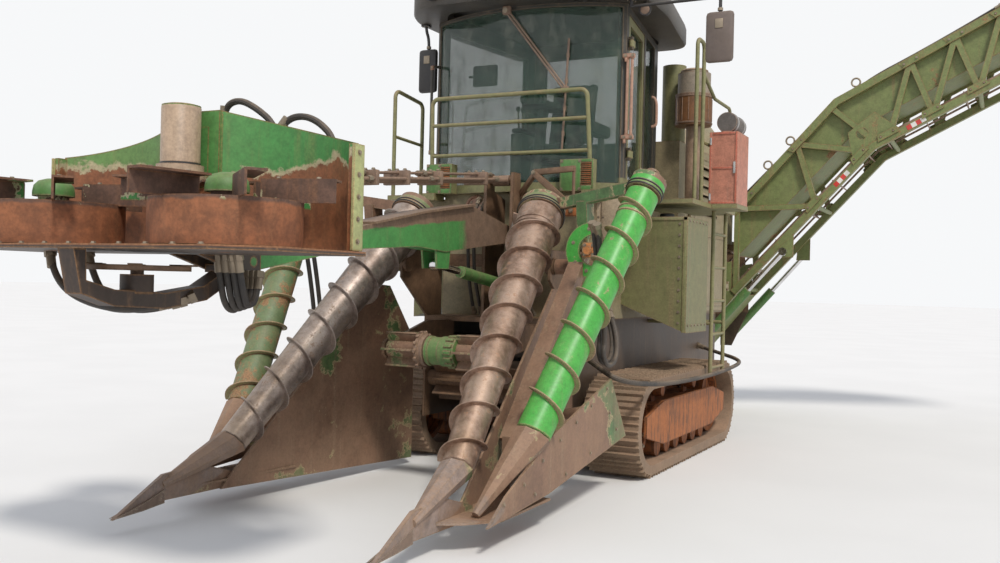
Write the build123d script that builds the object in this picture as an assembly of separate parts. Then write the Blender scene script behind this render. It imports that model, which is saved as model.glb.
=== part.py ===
from build123d import *
import math
import os

# Sugarcane harvester on steel tracks, with its loading elevator swung out to the left.
# Millimetres. X runs across the machine (left side positive), Y from the front of the
# tracks to the rear, Z up from the ground. Points in side view are (y, z) pairs.

# Tracks
TRACK_GAUGE = 1880
SHOE_WIDTH = 458
TRACK_LENGTH = 2900
TRACK_HEIGHT = 780
BELT_THICKNESS = 70
GROUSER_HEIGHT = 25
SHOES = 38
SEAT_GAP = 0.3
ROLLER_RADIUS = 85
ROLLERS_BELOW = 6
TOP_ROLLER_RADIUS = 60

# Chassis
WALL_INNER = 620
WALL = 20
FRAME_FRONT = -80
FRAME_REAR = 4100
DECK_Z = 1200
DECK_THICKNESS = 40
TOWER_FRONT = -460
TOWER_TOP = 1720

# Cab
CAB_FLOOR_Z = 2210
CAB_GLASS_Z = 2310
CAB_TOP_Z = 3700
CAB_HALF_FRONT = 860
CAB_HALF_REAR = 640
CAB_FRONT_Y = 410
CAB_REAR_Y = 1850
CAB_BULGE = 250
CAB_WALL = 50
GLASS_THICKNESS = 8
SCREEN_MARGIN = 28
DOOR_GAP = 6
ROOF_TOP_Z = 3980
ROOF_HALF = 1050
ROOF_FRONT_Y = -100
ROOF_REAR_Y = 2080
LAMP_X = (-620, -230, 230, 620)
LAMP_Z = 3800
LAMP_RADIUS = 62
WHEEL_RADIUS = 200

# Housings under and behind the cab
BASE_HALF = 690
HOUSING_Y = (2000, 3720)
HOUSING_TOP = 2840
HOUSING_HALF = 820
LOUVRE_PITCH = 130
REAR_BAY_Y = 3730

# Row dividers and their screw gatherers
PIVOT_Y = -400
PIVOT_Z = 1600
PIVOT_PIN = 30
PIN_CLEARANCE = 0.5
DIVIDER_TIP = (855, -3010, 85)
INNER_SCREW_LOW = (826, -2092, 419)
INNER_SCREW_HIGH = (550, -464, 1957)
INNER_SCREW_RADII = (95, 160)
INNER_PITCH = 270
OUTER_SCREW_LOW = (1105, -1685, 587)
OUTER_SCREW_HIGH = (1401, -680, 2081)
OUTER_SCREW_RADII = (108, 108)
OUTER_PITCH = 245
FLIGHT_HEIGHT = 35
FLIGHT_THICKNESS = 14
SHAFT_RADIUS = 30
SHAFT_STUB = 40
END_GAP = 6
PLATE = 16

# Topper arms and head
ARM_REAR = (0, 1850)
ARM_FRONT = (-3000, 1550)
LINK_RISE = 430
ARM_HALF = 70
ARM_PIN = 25
DRUM_X = 550
DRUM_Y = -3700
DRUM_RADIUS = 330
DRUM_Z = (1600, 1800)
VANE_RADIUS = 500
VANE_TOP_Z = 1900
VANES = 6
HOOD_RADIUS = 555
HOOD_SIDE_Z = 2080
HOOD_PEAK_Z = 2290
HEAD_PLATE_Z = 1575
KNIFE_Z = 1500
KNIFE_Y = -3680
KNIFE_RADIUS = 300
LIFT_BASE = (130, 1450)
LIFT_EYE = (-1000, 1590)

# Base cutters and rollers in the throat
CUTTER_X = 305
CUTTER_Y = 320
CUTTER_Z = 130
CUTTER_DISC = 215
CUTTER_TIP = 290
CUTTER_LEG = 70
KNOCKDOWN = (-930, 980)
FIN_ROLLER = (20, 690)
BUTT_ROLLER = (780, 470)

# Primary extractor
DUCT_Y = 4700
DUCT_RADIUS = 640
DUCT_WALL = 15
DUCT_TOP_Z = 2450
RING_HEIGHT = 150
HOOD_BEND = 40
HOOD_ARC = 650

# Elevator, in its own side view: u outward from the slew axis, z up
SLEW_Y = 4950
SLEW_RADIUS = 640
SLEW_HOLE = 540
TABLE_Z = (1935, 1994.7)
FLANGE_Z = (1995, 2035)
FOOT = (750, 1430)
LOWER_ANGLE = 47.6
UPPER_ANGLE = 27.7
LOWER_LENGTH = 2200
UPPER_LENGTH = 2950
TRUSS_DEPTH = 670
TRUSS_HALF = 530
CHORD = 80
BRACE = 60
FLOOR_OFFSET = 300
TROUGH_HALF = 440
TAIL_OFFSET = 1150
CHAIN_RADIUS = 110
SLAT_PITCH = 450
ELEVATOR_PIVOT = (550, 1240)
RAM_BASE = (400, 830)
RAM_EYE = (1330, 1900)
FAN_RADIUS = 400

PARTS = {}


def block(x, y, z):
    """A box between two values along each axis."""
    size = [b - a for a, b in (x, y, z)]
    middle = [(a + b) / 2 for a, b in (x, y, z)]
    return Pos(*middle) * Box(*size)


def side_plate(points, x0, x1):
    """A plate with its outline in side view, (y, z), from x0 to x1."""
    face = make_face(Polyline(*points, close=True))
    return extrude(Plane(origin=(x0, 0, 0), x_dir=(0, 1, 0), z_dir=(1, 0, 0)) * face, x1 - x0)


def front_plate(points, y0, y1):
    """A plate with its outline in front view, (x, z), from y0 to y1."""
    face = make_face(Polyline(*points, close=True))
    return extrude(Plane(origin=(0, y0, 0), x_dir=(1, 0, 0), z_dir=(0, -1, 0)) * face, y0 - y1)


def floor_plate(points, z0, z1):
    """A plate with its outline in plan, (x, y), from z0 to z1."""
    return extrude(Plane.XY.offset(z0) * make_face(Polyline(*points, close=True)), z1 - z0)


def rod(p, q, radius):
    """A round bar between two points."""
    axis = Vector(*q) - Vector(*p)
    return extrude(Plane(origin=p, z_dir=axis) * Circle(radius), axis.length)


def hollow_rod(p, q, radius, bore):
    return rod(p, q, radius) - rod(p, q, bore)


def bar(p, q, width, height):
    """A square-edged bar between two points, its width level."""
    axis = Vector(*q) - Vector(*p)
    level = Vector(0, 0, 1).cross(axis)
    if level.length < 1:
        level = Vector(1, 0, 0)
    return extrude(Plane(origin=p, x_dir=level, z_dir=axis) * Rectangle(width, height), axis.length)


def bent_pipe(points, radius, bend):
    path = FilletPolyline(*points, radius=bend)
    return sweep(Plane(origin=path @ 0, z_dir=path % 0) * Circle(radius), path=path)


def weld(*pieces):
    return Part() + list(pieces)


def mirrored(shape):
    return mirror(shape, about=Plane.YZ)


def both_sides(shape):
    return [shape, mirrored(shape)]


def stations(start, end, pitch):
    """Places at an even pitch from start, up to end."""
    return [start + pitch * i for i in range(int((end - start) / pitch) + 1)]


def lerp(a, b, t):
    return a + (b - a) * t


def make_track():
    """One fixed loop of steel shoes, each with three grousers, round a stadium."""
    end = TRACK_HEIGHT / 2
    shoe_radius = end - GROUSER_HEIGHT
    inner_radius = shoe_radius - BELT_THICKNESS
    straight = TRACK_LENGTH - TRACK_HEIGHT
    loop = 2 * straight + 2 * math.pi * shoe_radius
    half = loop / SHOES / 2
    # along the shoe as a share of its half length, height as a share of the grouser
    profile = [(-0.98, 0), (-0.78, 0), (-0.66, 1), (-0.54, 0), (-0.12, 0), (0, 0.75),
               (0.12, 0), (0.54, 0), (0.66, 1), (0.78, 0), (0.98, 0)]
    outline = []
    for i in range(SHOES):
        s = i * loop / SHOES
        y, z, ty, tz = on_loop(s, straight, shoe_radius, end)
        for along, rise in profile:
            a, h = along * half, rise * GROUSER_HEIGHT
            # the outward side is to the left of the direction of travel
            outline.append((y + ty * a - tz * h, min(max(z + tz * a + ty * h, 0), TRACK_HEIGHT)))
    x0 = TRACK_GAUGE / 2 - SHOE_WIDTH / 2
    loop_solid = side_plate(outline, x0, x0 + SHOE_WIDTH)
    return loop_solid - stadium(inner_radius, x0, x0 + SHOE_WIDTH)


def on_loop(s, straight, radius, end):
    """Place and direction at distance s along the loop, from the front of its top run."""
    arc = math.pi * radius
    if s < straight:
        return end + s, end + radius, 1, 0
    s -= straight
    if s < arc:
        a = s / radius
        return end + straight + radius * math.sin(a), end + radius * math.cos(a), math.cos(a), -math.sin(a)
    s -= arc
    if s < straight:
        return end + straight - s, end - radius, -1, 0
    a = (s - straight) / radius
    return end - radius * math.sin(a), end - radius * math.cos(a), -math.cos(a), math.sin(a)


def stadium(radius, x0, x1):
    end = TRACK_HEIGHT / 2
    rear = TRACK_LENGTH - end
    return weld(rod((x0, end, end), (x1, end, end), radius),
                rod((x0, rear, end), (x1, rear, end), radius),
                block((x0, x1), (end, rear), (end - radius, end + radius)))


def make_track_frame():
    """Idler, sprocket, rollers and the beam that carries them, inside one track."""
    end = TRACK_HEIGHT / 2
    rear = TRACK_LENGTH - end
    inner = end - GROUSER_HEIGHT - BELT_THICKNESS
    x_in = TRACK_GAUGE / 2 - SHOE_WIDTH / 2 + 29
    x_out = TRACK_GAUGE / 2 + SHOE_WIDTH / 2 - 29
    cheek = 25
    mid = (x_in + x_out) / 2
    belt_low = end - inner
    belt_high = end + inner
    beam_z = (250, 520)
    pieces = [block((x_in, x_out), (end + 310, rear - 310), beam_z)
              - block((x_in + cheek, x_out - cheek), (end + 330, rear - 330), (beam_z[0] + 20, beam_z[1] - 20))]
    for x0 in (x_in, x_out - cheek):
        pieces.append(side_plate([(end - 90, 310), (end + 330, 215), (rear - 330, 215), (rear + 90, 310),
                                  (rear + 90, 470), (rear - 330, 560), (end + 330, 560), (end - 90, 470)],
                                 x0, x0 + cheek))
    for y in (end, rear):
        pieces.append(rod((x_in + cheek, y, end), (x_out - cheek, y, end), 50))
        wheel = rod((mid - 80, y, end), (mid + 80, y, end), inner - SEAT_GAP)
        for x0 in (mid - 80, mid + 20):
            wheel -= hollow_rod((x0, y, end), (x0 + 60, y, end), inner - 50, 100)
        pieces.append(wheel)
    for i in range(ROLLERS_BELOW):
        y = lerp(end + 420, rear - 420, i / (ROLLERS_BELOW - 1))
        z = belt_low + SEAT_GAP + ROLLER_RADIUS
        pieces.append(rod((mid - 120, y, z), (mid + 120, y, z), ROLLER_RADIUS))
    for y in (end + 600, rear - 600):
        z = belt_high - SEAT_GAP - TOP_ROLLER_RADIUS
        pieces.append(rod((mid - 100, y, z), (mid + 100, y, z), TOP_ROLLER_RADIUS))
        pieces.append(block((mid - 15, mid + 15), (y - 50, y + 50), (beam_z[1], z)))
    return weld(*pieces)


def make_main_frame():
    """Side walls of the cane tunnel, deck, track mounts, front tower and rear uprights."""
    outer = WALL_INNER + WALL
    wall = side_plate([(FRAME_FRONT, 380), (900, 380), (FRAME_REAR, 640), (FRAME_REAR, FLANGE_Z[0]),
                       (REAR_BAY_Y, FLANGE_Z[0]), (REAR_BAY_Y, DECK_Z), (150, DECK_Z), (150, TOWER_TOP),
                       (TOWER_FRONT, TOWER_TOP), (TOWER_FRONT, 1500), (FRAME_FRONT, DECK_Z)],
                      WALL_INNER, outer)
    x_track = TRACK_GAUGE / 2 - SHOE_WIDTH / 2 + 29
    mounts = [block((outer, x_track), (y, y + 260), (400, 520)) for y in (880, 1780)]
    pin = rod((outer, PIVOT_Y, PIVOT_Z), (outer + 160, PIVOT_Y, PIVOT_Z), PIVOT_PIN)
    boss = rod((WALL_INNER - 30, PIVOT_Y, PIVOT_Z), (outer + 20, PIVOT_Y, PIVOT_Z), 60)
    tow = side_plate([(FRAME_REAR - 140, 660), (FRAME_REAR, 660), (FRAME_REAR, 560), (FRAME_REAR - 50, 510),
                      (FRAME_REAR - 100, 510), (FRAME_REAR - 140, 560)], WALL_INNER - 10, outer)
    tow -= rod((WALL_INNER - 20, FRAME_REAR - 70, 570), (outer + 10, FRAME_REAR - 70, 570), 22)
    bearings = [rod((546, y, z), (WALL_INNER, y, z), 65) - rod((540, y, z), (600, y, z), SHAFT_RADIUS + PIN_CLEARANCE)
                for y, z in (FIN_ROLLER, BUTT_ROLLER)]
    y, z = KNOCKDOWN
    arm = side_plate([(y - 70, z - 40), (y - 30, z - 70), (y + 70, z - 60), (0, 1040), (0, DECK_Z - 30),
                      (-400, DECK_Z - 30), (y + 70, z + 70), (y - 30, z + 70), (y - 70, z + 40)], 406, 436)
    arm -= rod((400, y, z), (440, y, z), SHAFT_RADIUS + PIN_CLEARANCE)
    side = weld(wall, *mounts, pin, boss, tow, *bearings, arm)
    deck = block((-WALL_INNER, WALL_INNER), (FRAME_FRONT, REAR_BAY_Y), (DECK_Z - DECK_THICKNESS, DECK_Z))
    mast_out = ARM_HALF + 60
    mast = side_plate([(-70, DECK_Z), (260, DECK_Z), (260, 2150), (70, 2200), (60, 2340), (-60, 2340),
                       (-70, 1800)], ARM_HALF + 32, mast_out)
    brace = block((mast_out, WALL_INNER), (60, 160), (1600, 1700))
    pan = side_plate([(1000, 395), (FRAME_REAR, 650), (FRAME_REAR, 665), (1000, 410)],
                     -WALL_INNER, WALL_INNER)
    return weld(side, mirrored(side), deck, mast, mirrored(mast), brace, mirrored(brace), pan,
                topper_pins(), lift_pin_mount(), cutter_box())


def topper_pins():
    """Cross pins of the mast that the two pairs of topper arms swing on."""
    reach = ARM_HALF + 40
    y, z = ARM_REAR
    return weld(rod((-reach, y, z), (reach, y, z), ARM_PIN),
                rod((-reach, y, z + LINK_RISE), (reach, y, z + LINK_RISE), ARM_PIN))


def lift_pin_mount():
    y, z = LIFT_BASE
    return rod((-ARM_HALF - 40, y, z), (ARM_HALF + 40, y, z), ARM_PIN)


def cutter_box():
    """Gearbox across the throat roof, with a bearing leg down to each base cutter."""
    box = block((-WALL_INNER, WALL_INNER), (CUTTER_Y - 140, CUTTER_Y + 140), (880, 1040))
    legs = [rod((x, CUTTER_Y, CUTTER_Z + 130), (x, CUTTER_Y, 880), CUTTER_LEG) for x in (-CUTTER_X, CUTTER_X)]
    sockets = [rod((x, CUTTER_Y, CUTTER_Z + 120), (x, CUTTER_Y, CUTTER_Z + 220), SHAFT_RADIUS + PIN_CLEARANCE)
               for x in (-CUTTER_X, CUTTER_X)]
    return weld(box, *legs) - sockets


def make_base_cutter(x):
    """Disc with five blades, hung on its shaft."""
    disc = Pos(x, CUTTER_Y, CUTTER_Z) * Cylinder(CUTTER_DISC, 20)
    hub = rod((x, CUTTER_Y, CUTTER_Z), (x, CUTTER_Y, CUTTER_Z + 110), 90)
    shaft = rod((x, CUTTER_Y, CUTTER_Z), (x, CUTTER_Y, CUTTER_Z + 200), SHAFT_RADIUS)
    blades = []
    for i in range(5):
        blade = block((CUTTER_DISC - 80, CUTTER_TIP), (-45, 45), (-18, -10))
        blades.append(Pos(x, CUTTER_Y, CUTTER_Z) * Rot(0, 0, 72 * i) * blade)
    return weld(disc, hub, shaft, *blades)


def make_paddle_roller(place, half, radius, core, paddles):
    """A core tube with lengthwise paddles and a shaft stub at each end."""
    y, z = place
    pieces = [rod((-half, y, z), (half, y, z), core),
              rod((-half - SHAFT_STUB, y, z), (half + SHAFT_STUB, y, z), SHAFT_RADIUS)]
    for i in range(paddles):
        paddle = block((-half, half), (-6, 6), (core - 4, radius))
        pieces.append(Pos(0, y, z) * Rot(360 * i / paddles, 0, 0) * paddle)
    return weld(*pieces)


def screw_frame(low, high):
    """Plane at the foot of a screw, its z axis up the screw, and the screw's length."""
    axis = Vector(*high) - Vector(*low)
    return Plane(origin=low, x_dir=(1, 0, 0), z_dir=axis), axis.length


def make_screw(low, high, radii, pitch, hand):
    """A tapered twelve-sided drum with a helical flight wound up it, eight steps to a turn.
    hand is 1 where the flight rises to the right and -1 where it rises to the left."""
    place, length = screw_frame(low, high)
    sides, steps = 12, 8
    drum = loft([Plane.XY * RegularPolygon(radii[0], sides), Plane.XY.offset(length) * RegularPolygon(radii[1], sides)],
                ruled=True)
    wall = 12
    hollow = loft([Plane.XY.offset(wall) * RegularPolygon(radii[0] - wall, sides),
                   Plane.XY.offset(length - wall) * RegularPolygon(radii[1] - wall, sides)], ruled=True)
    start, root = 40, 8
    count = int((length - 2 * start) / pitch * steps)
    points = []
    for i in range(count + 1):
        z = start + pitch * i / steps
        r = lerp(radii[0], radii[1], z / length)
        a = math.radians(360 * i / steps) * hand
        points.append((r * math.cos(a), r * math.sin(a), z))
    path = Polyline(*points)
    section = Pos(FLIGHT_HEIGHT / 2 - root, 0, 0) * Rectangle(FLIGHT_HEIGHT + 2 * root, FLIGHT_THICKNESS)
    flight = sweep(Plane(origin=path @ 0, x_dir=(1, 0, 0), z_dir=path % 0) * section, path=path,
                   transition=Transition.RIGHT)
    shaft = rod((0, 0, -SHAFT_STUB), (0, 0, length + SHAFT_STUB), SHAFT_RADIUS)
    return place * weld(drum - hollow, flight, shaft)


def screw_point(low, high, beyond):
    """A point on a screw's axis, that far beyond its upper end (or before its foot if negative)."""
    axis = (Vector(*high) - Vector(*low)).normalized()
    base = Vector(*high) if beyond > 0 else Vector(*low)
    return tuple(base + axis * beyond)


def screw_cap(low, high, radius, depth):
    """The bearing cap over a screw's upper end, with the socket for its shaft."""
    cap = rod(screw_point(low, high, END_GAP), screw_point(low, high, END_GAP + depth), radius)
    return cap - rod(screw_point(low, high, END_GAP / 2), screw_point(low, high, SHAFT_STUB + 4),
                     SHAFT_RADIUS + PIN_CLEARANCE)


def screw_nose(low, high, radius, point, tip_size):
    """A faceted nose from a small end at point up to a screw's foot."""
    place, _ = screw_frame(low, high)
    base = place.offset(-END_GAP) * RegularPolygon(radius, 8)
    aim = Vector(*low) - Vector(*point)
    tip = Plane(origin=point, x_dir=(1, 0, 0), z_dir=aim) * RegularPolygon(tip_size, 8)
    nose = loft([tip, base], ruled=True)
    return nose - rod(screw_point(low, high, -SHAFT_STUB - 4), low, SHAFT_RADIUS + PIN_CLEARANCE)


def make_divider():
    """The left row divider: walls, beam, noses, and the caps that hold its two screws."""
    wall_front, wall_rear = Vector(872, -2600, 0), Vector(690, -150, 0)
    along = wall_rear - wall_front
    length = along.length
    wall_plane = Plane(origin=wall_front, x_dir=along, z_dir=along.cross(Vector(0, 0, 1)))
    wall_points = [(430, 120), (length, 50), (length, 1000), (length - 330, 1430), (length - 470, 1440),
                   (500, 190)]
    inner_wall = extrude(wall_plane * make_face(Polyline(*wall_points, close=True)), PLATE)
    outer_wall = side_plate([(-2330, 165), (-1550, 215), (-217, 400), (-530, 830), (-1500, 560), (-2120, 300)],
                            1140, 1140 + PLATE)
    blade = side_plate([DIVIDER_TIP[1:], (-2640, 130), (-2000, 120), (-2000, 200), (-2330, 300), (-2640, 285)],
                       860, 860 + 24)
    pan = floor_plate([(868, -2420), (1000, -2330), (1145, -2150), (1145, -1500), (780, -1500)], 165, 180)
    beam = bar((885, -1550, 500), (900, -400, 1800), 110, 80)
    foot = block((860, 920), (-1600, -1480), (178, 540))
    head = side_plate([(-470, 1530), (-330, 1530), (-400, 2060), (-540, 2060)], 860, 940)
    sleeve = hollow_rod((665, PIVOT_Y, PIVOT_Z), (960, PIVOT_Y, PIVOT_Z), 55, PIVOT_PIN + PIN_CLEARANCE)
    cross = bar(screw_point(INNER_SCREW_LOW, INNER_SCREW_HIGH, 105),
                screw_point(OUTER_SCREW_LOW, OUTER_SCREW_HIGH, 90), 80, 80)
    tie = rod((730, -620, 540), (1142, -620, 640), 35)
    caps = [screw_cap(INNER_SCREW_LOW, INNER_SCREW_HIGH, INNER_SCREW_RADII[1] + 8, 110),
            screw_cap(OUTER_SCREW_LOW, OUTER_SCREW_HIGH, OUTER_SCREW_RADII[1] + 12, 120)]
    noses = [screw_nose(INNER_SCREW_LOW, INNER_SCREW_HIGH, INNER_SCREW_RADII[0] + 6, (876, -2640, 225), 25),
             screw_nose(OUTER_SCREW_LOW, OUTER_SCREW_HIGH, OUTER_SCREW_RADII[1] + 6, (1010, -2200, 195), 25)]
    sockets = [rod(screw_point(low, high, -SHAFT_STUB - 4), screw_point(low, high, SHAFT_STUB + 4),
                   SHAFT_RADIUS + PIN_CLEARANCE)
               for low, high in ((INNER_SCREW_LOW, INNER_SCREW_HIGH), (OUTER_SCREW_LOW, OUTER_SCREW_HIGH))]
    motors = [rod(screw_point(INNER_SCREW_LOW, INNER_SCREW_HIGH, END_GAP + 100),
                  screw_point(INNER_SCREW_LOW, INNER_SCREW_HIGH, END_GAP + 190), 52),
              rod(screw_point(OUTER_SCREW_LOW, OUTER_SCREW_HIGH, END_GAP + 110),
                  screw_point(OUTER_SCREW_LOW, OUTER_SCREW_HIGH, END_GAP + 190), 48)]
    return weld(inner_wall, outer_wall, blade, pan, beam, foot, head, sleeve, cross, tie, *caps, *noses, *motors,
                *motor_bracket()) - sockets


BRACKET = (1010, -600, 1715)
BRACKET_RADII = (190, 108)


def motor_bracket():
    """The curved plate on the divider's beam, and the motor that sits in its opening."""
    x, y, z = BRACKET
    outer, inner = BRACKET_RADII
    outline = [(x + outer * math.cos(math.radians(a)), z + outer * math.sin(math.radians(a))) for a in range(75, 271, 15)]
    outline += [(x + 12 + inner * math.cos(math.radians(a)), z + inner * math.sin(math.radians(a)))
                for a in range(270, 74, -15)]
    plate = front_plate(outline, y, y + 16)
    motor = block((x - 52, x + 48), (y - 40, y + 30), (z - 55, z + 50))
    stay = bar((x, y + 20, z - 10), (895, -500, 1690), 50, 50)
    return [plate, motor, stay]


def arm_end(point, half, radius, hole):
    y, z = point
    return rod((-half, y, z), (half, y, z), radius), rod((-half - 5, y, z), (half + 5, y, z), hole)


def make_topper_arm():
    """The lower arm: a deep box beam with a swan neck and a wider top flange."""
    ry, rz = ARM_REAR
    fy, fz = ARM_FRONT
    web = side_plate([(fy, fz - 55), (-2120, 1650), (-1360, 1700), (-980, 1680), (ry, rz - 60),
                      (ry + 30, rz), (ry, rz + 70), (-600, 2030), (-1285, 1930), (-1890, 1817), (fy, fz + 55)],
                     -ARM_HALF, ARM_HALF)
    flange = side_plate([(-1890, 1817), (-1285, 1930), (-600, 2030), (-600, 2045), (-1285, 1945), (-1890, 1832)],
                        -ARM_HALF - 25, ARM_HALF + 25)
    rear_boss, rear_hole = arm_end(ARM_REAR, ARM_HALF, 75, ARM_PIN + PIN_CLEARANCE)
    front_boss, _ = arm_end(ARM_FRONT, ARM_HALF, 60, ARM_PIN)
    pin = rod((-ARM_HALF - 30, fy, fz), (ARM_HALF + 30, fy, fz), ARM_PIN)
    ears = [side_plate([(-1080, 1560), (-920, 1560), (-900, 1690), (-1100, 1700)], x, x + 14) for x in (-62, 48)]
    return weld(web, flange, rear_boss, front_boss, pin, *ears) - rear_hole


def make_topper_link():
    """The upper pair of tubes that keeps the head level."""
    ry, rz = ARM_REAR[0], ARM_REAR[1] + LINK_RISE
    fy, fz = ARM_FRONT[0], ARM_FRONT[1] + LINK_RISE
    tubes = [rod((x, ry, rz), (x, fy, fz), 20) for x in (-45, 45)]
    bosses = [rod((-ARM_HALF, y, z), (ARM_HALF, y, z), 42) for y, z in ((ry, rz), (fy, fz))]
    hole = rod((-ARM_HALF - 5, ry, rz), (ARM_HALF + 5, ry, rz), ARM_PIN + PIN_CLEARANCE)
    pin = rod((-ARM_HALF - 30, fy, fz), (ARM_HALF + 30, fy, fz), ARM_PIN)
    ties = [block((-45, 45), (y - 20, y + 20), (z - 8, z + 8))
            for y, z in ((lerp(ry, fy, t), lerp(rz, fz, t)) for t in (0.3, 0.6))]
    return weld(*tubes, *bosses, pin, *ties) - hole


def make_topper_head():
    """Base plate, curled hood, centre post and the carrying bracket."""
    top = DRUM_Z[0] - 5
    base = floor_plate([(-1000, -3900), (-800, -4080), (800, -4080), (1000, -3900), (1000, -3290), (-1000, -3290)],
                       HEAD_PLATE_Z, top)
    pieces = [base]
    fy, fz = ARM_FRONT
    cheek = side_plate([(fy - 400, HEAD_PLATE_Z), (fy - 60, 1480), (fy + 55, 1490), (fy + 55, fz + LINK_RISE + 60),
                        (fy - 60, fz + LINK_RISE + 60), (fy - 300, 1900), (fy - 400, 1900)],
                       ARM_HALF + 10, ARM_HALF + 30)
    pieces += both_sides(cheek)
    pieces.append(block((-ARM_HALF - 10, ARM_HALF + 10), (fy - 330, fy - 300), (HEAD_PLATE_Z, 2200)))
    post = rod((0, -3430, 1915), (0, -3430, 2290), 92)
    pieces += [post, rod((0, -3430, 1905), (0, -3430, 2000), 110), rod((0, -3430, top), (0, -3430, 1905), 60)]
    pieces += both_sides(make_hood_wing())
    beam = side_plate([(-4010, HEAD_PLATE_Z), (-4005, 1440), (-3850, 1400), (-3550, 1385), (-3300, 1420),
                       (-3150, 1500), (-3110, 1500), (-3110, 1440), (-3280, 1350), (-3550, 1310), (-3850, 1325),
                       (-4030, 1380), (-4075, HEAD_PLATE_Z)], -50, 50)
    pieces += [beam, block((-ARM_HALF - 12, ARM_HALF + 12), (fy - 160, fy - 110), (1490, 1530))]
    holes = [rod((-120, fy, z), (120, fy, z), ARM_PIN + PIN_CLEARANCE) for z in (fz, fz + LINK_RISE)]
    motor = rod((0, KNIFE_Y, 1385), (0, KNIFE_Y, KNIFE_Z - 30), 75)
    socket = rod((0, KNIFE_Y, KNIFE_Z - 70), (0, KNIFE_Y, KNIFE_Z), SHAFT_RADIUS + PIN_CLEARANCE)
    sockets = [rod((x, DRUM_Y, HEAD_PLATE_Z - 5), (x, DRUM_Y, top + 5), SHAFT_RADIUS + PIN_CLEARANCE)
               for x in (-DRUM_X, DRUM_X)]
    return weld(*pieces, motor) - holes - socket - sockets


def make_hood_wing():
    """The left wing: a sheet bent round behind the drum, its top edge falling outwards."""
    low = DRUM_Z[0] - 5
    start, end = 44, 137
    ring = Pos(DRUM_X, DRUM_Y, 0) * (Cylinder(HOOD_RADIUS + 12, 2000, align=(Align.CENTER, Align.CENTER, Align.MIN))
                                     - Cylinder(HOOD_RADIUS, 2000, align=(Align.CENTER, Align.CENTER, Align.MIN)))
    ring = Pos(0, 0, 1000) * ring
    a0, a1 = math.radians(start), math.radians(end)
    far = 1000
    wedge = floor_plate([(DRUM_X, DRUM_Y), (DRUM_X + far * math.cos(a0), DRUM_Y + far * math.sin(a0)),
                         (DRUM_X, DRUM_Y + 1.4 * far),
                         (DRUM_X + far * math.cos(a1), DRUM_Y + far * math.sin(a1))], low, HOOD_PEAK_Z + 50)
    edge = DRUM_X + HOOD_RADIUS * math.cos(a0)
    inner = DRUM_X + HOOD_RADIUS * math.cos(a1)
    slope = front_plate([(inner - 30, low), (edge + 30, low), (edge + 30, HOOD_SIDE_Z), (inner, HOOD_PEAK_Z - 10),
                         (inner - 30, HOOD_PEAK_Z)], -3700, -3000)
    sheet = ring & wedge & slope
    flange = block((edge - 6, edge + 20), (DRUM_Y + HOOD_RADIUS * math.sin(a0) - 45,
                                           DRUM_Y + HOOD_RADIUS * math.sin(a0) + 10), (low, HOOD_SIDE_Z))
    seam_y = DRUM_Y + HOOD_RADIUS * math.sin(a1)
    middle = block((0, inner + 6), (seam_y - 6, seam_y + 8), (low, HOOD_PEAK_Z - 10))
    return weld(sheet, flange, middle)


def make_drum(side):
    """A gathering drum with bent vanes round its top edge."""
    x = side * DRUM_X
    low, high = DRUM_Z
    shell = rod((x, DRUM_Y, low), (x, DRUM_Y, high), DRUM_RADIUS)
    hollow = rod((x, DRUM_Y, low - 1), (x, DRUM_Y, high - 20), DRUM_RADIUS - 12)
    hub = rod((x, DRUM_Y, low), (x, DRUM_Y, high - 10), 60)
    shaft = rod((x, DRUM_Y, HEAD_PLATE_Z), (x, DRUM_Y, high - 10), SHAFT_RADIUS)
    cap = rod((x, DRUM_Y, high), (x, DRUM_Y, high + 40), 70)
    pieces = [shell - hollow, hub, shaft, cap]
    for i in range(VANES):
        vane = weld(block((150, VANE_RADIUS - 15), (0, 10), (high - 5, VANE_TOP_Z)),
                    block((150, VANE_RADIUS - 15), (0, 90), (VANE_TOP_Z - 10, VANE_TOP_Z)))
        pieces.append(Pos(x, DRUM_Y, 0) * Rot(0, 0, 360 * i / VANES + 20) * vane)
    return weld(*pieces)


def make_topper_knife():
    """The cutting disc under the head, with blades on its rim."""
    y = KNIFE_Y
    pieces = [rod((0, y, KNIFE_Z - 12), (0, y, KNIFE_Z + 12), KNIFE_RADIUS - 60),
              rod((0, y, KNIFE_Z - 60), (0, y, KNIFE_Z), SHAFT_RADIUS)]
    for i in range(6):
        blade = block((KNIFE_RADIUS - 120, KNIFE_RADIUS - 4), (-30, 30), (12, 18))
        pieces.append(Pos(0, y, KNIFE_Z) * Rot(0, 0, 60 * i + 15) * blade)
    return weld(*pieces)


def make_ram(base, eye, radius, rod_radius, x, eye_half, closed):
    """A hydraulic cylinder at one x: (barrel, rod). base and eye are (y, z)."""
    b, e = Vector(x, *base), Vector(x, *eye)
    way = (e - b).normalized()
    length = (e - b).length
    split = b + way * closed
    barrel = weld(rod(tuple(b + way * 50), tuple(split), radius),
                  rod((x - eye_half, *base), (x + eye_half, *base), ARM_PIN + 22),
                  rod(tuple(b), tuple(b + way * 60), radius * 0.7))
    barrel -= rod((x - eye_half - 5, *base), (x + eye_half + 5, *base), ARM_PIN + PIN_CLEARANCE)
    barrel -= rod(tuple(split - way * (closed - 110)), tuple(split + way * 5), rod_radius + 0.4)
    stem = rod(tuple(b + way * (length * 0.5)), tuple(e), rod_radius)
    knuckle = rod((x - eye_half, *eye), (x + eye_half, *eye), ARM_PIN + 18)
    return barrel, weld(stem, knuckle)


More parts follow.
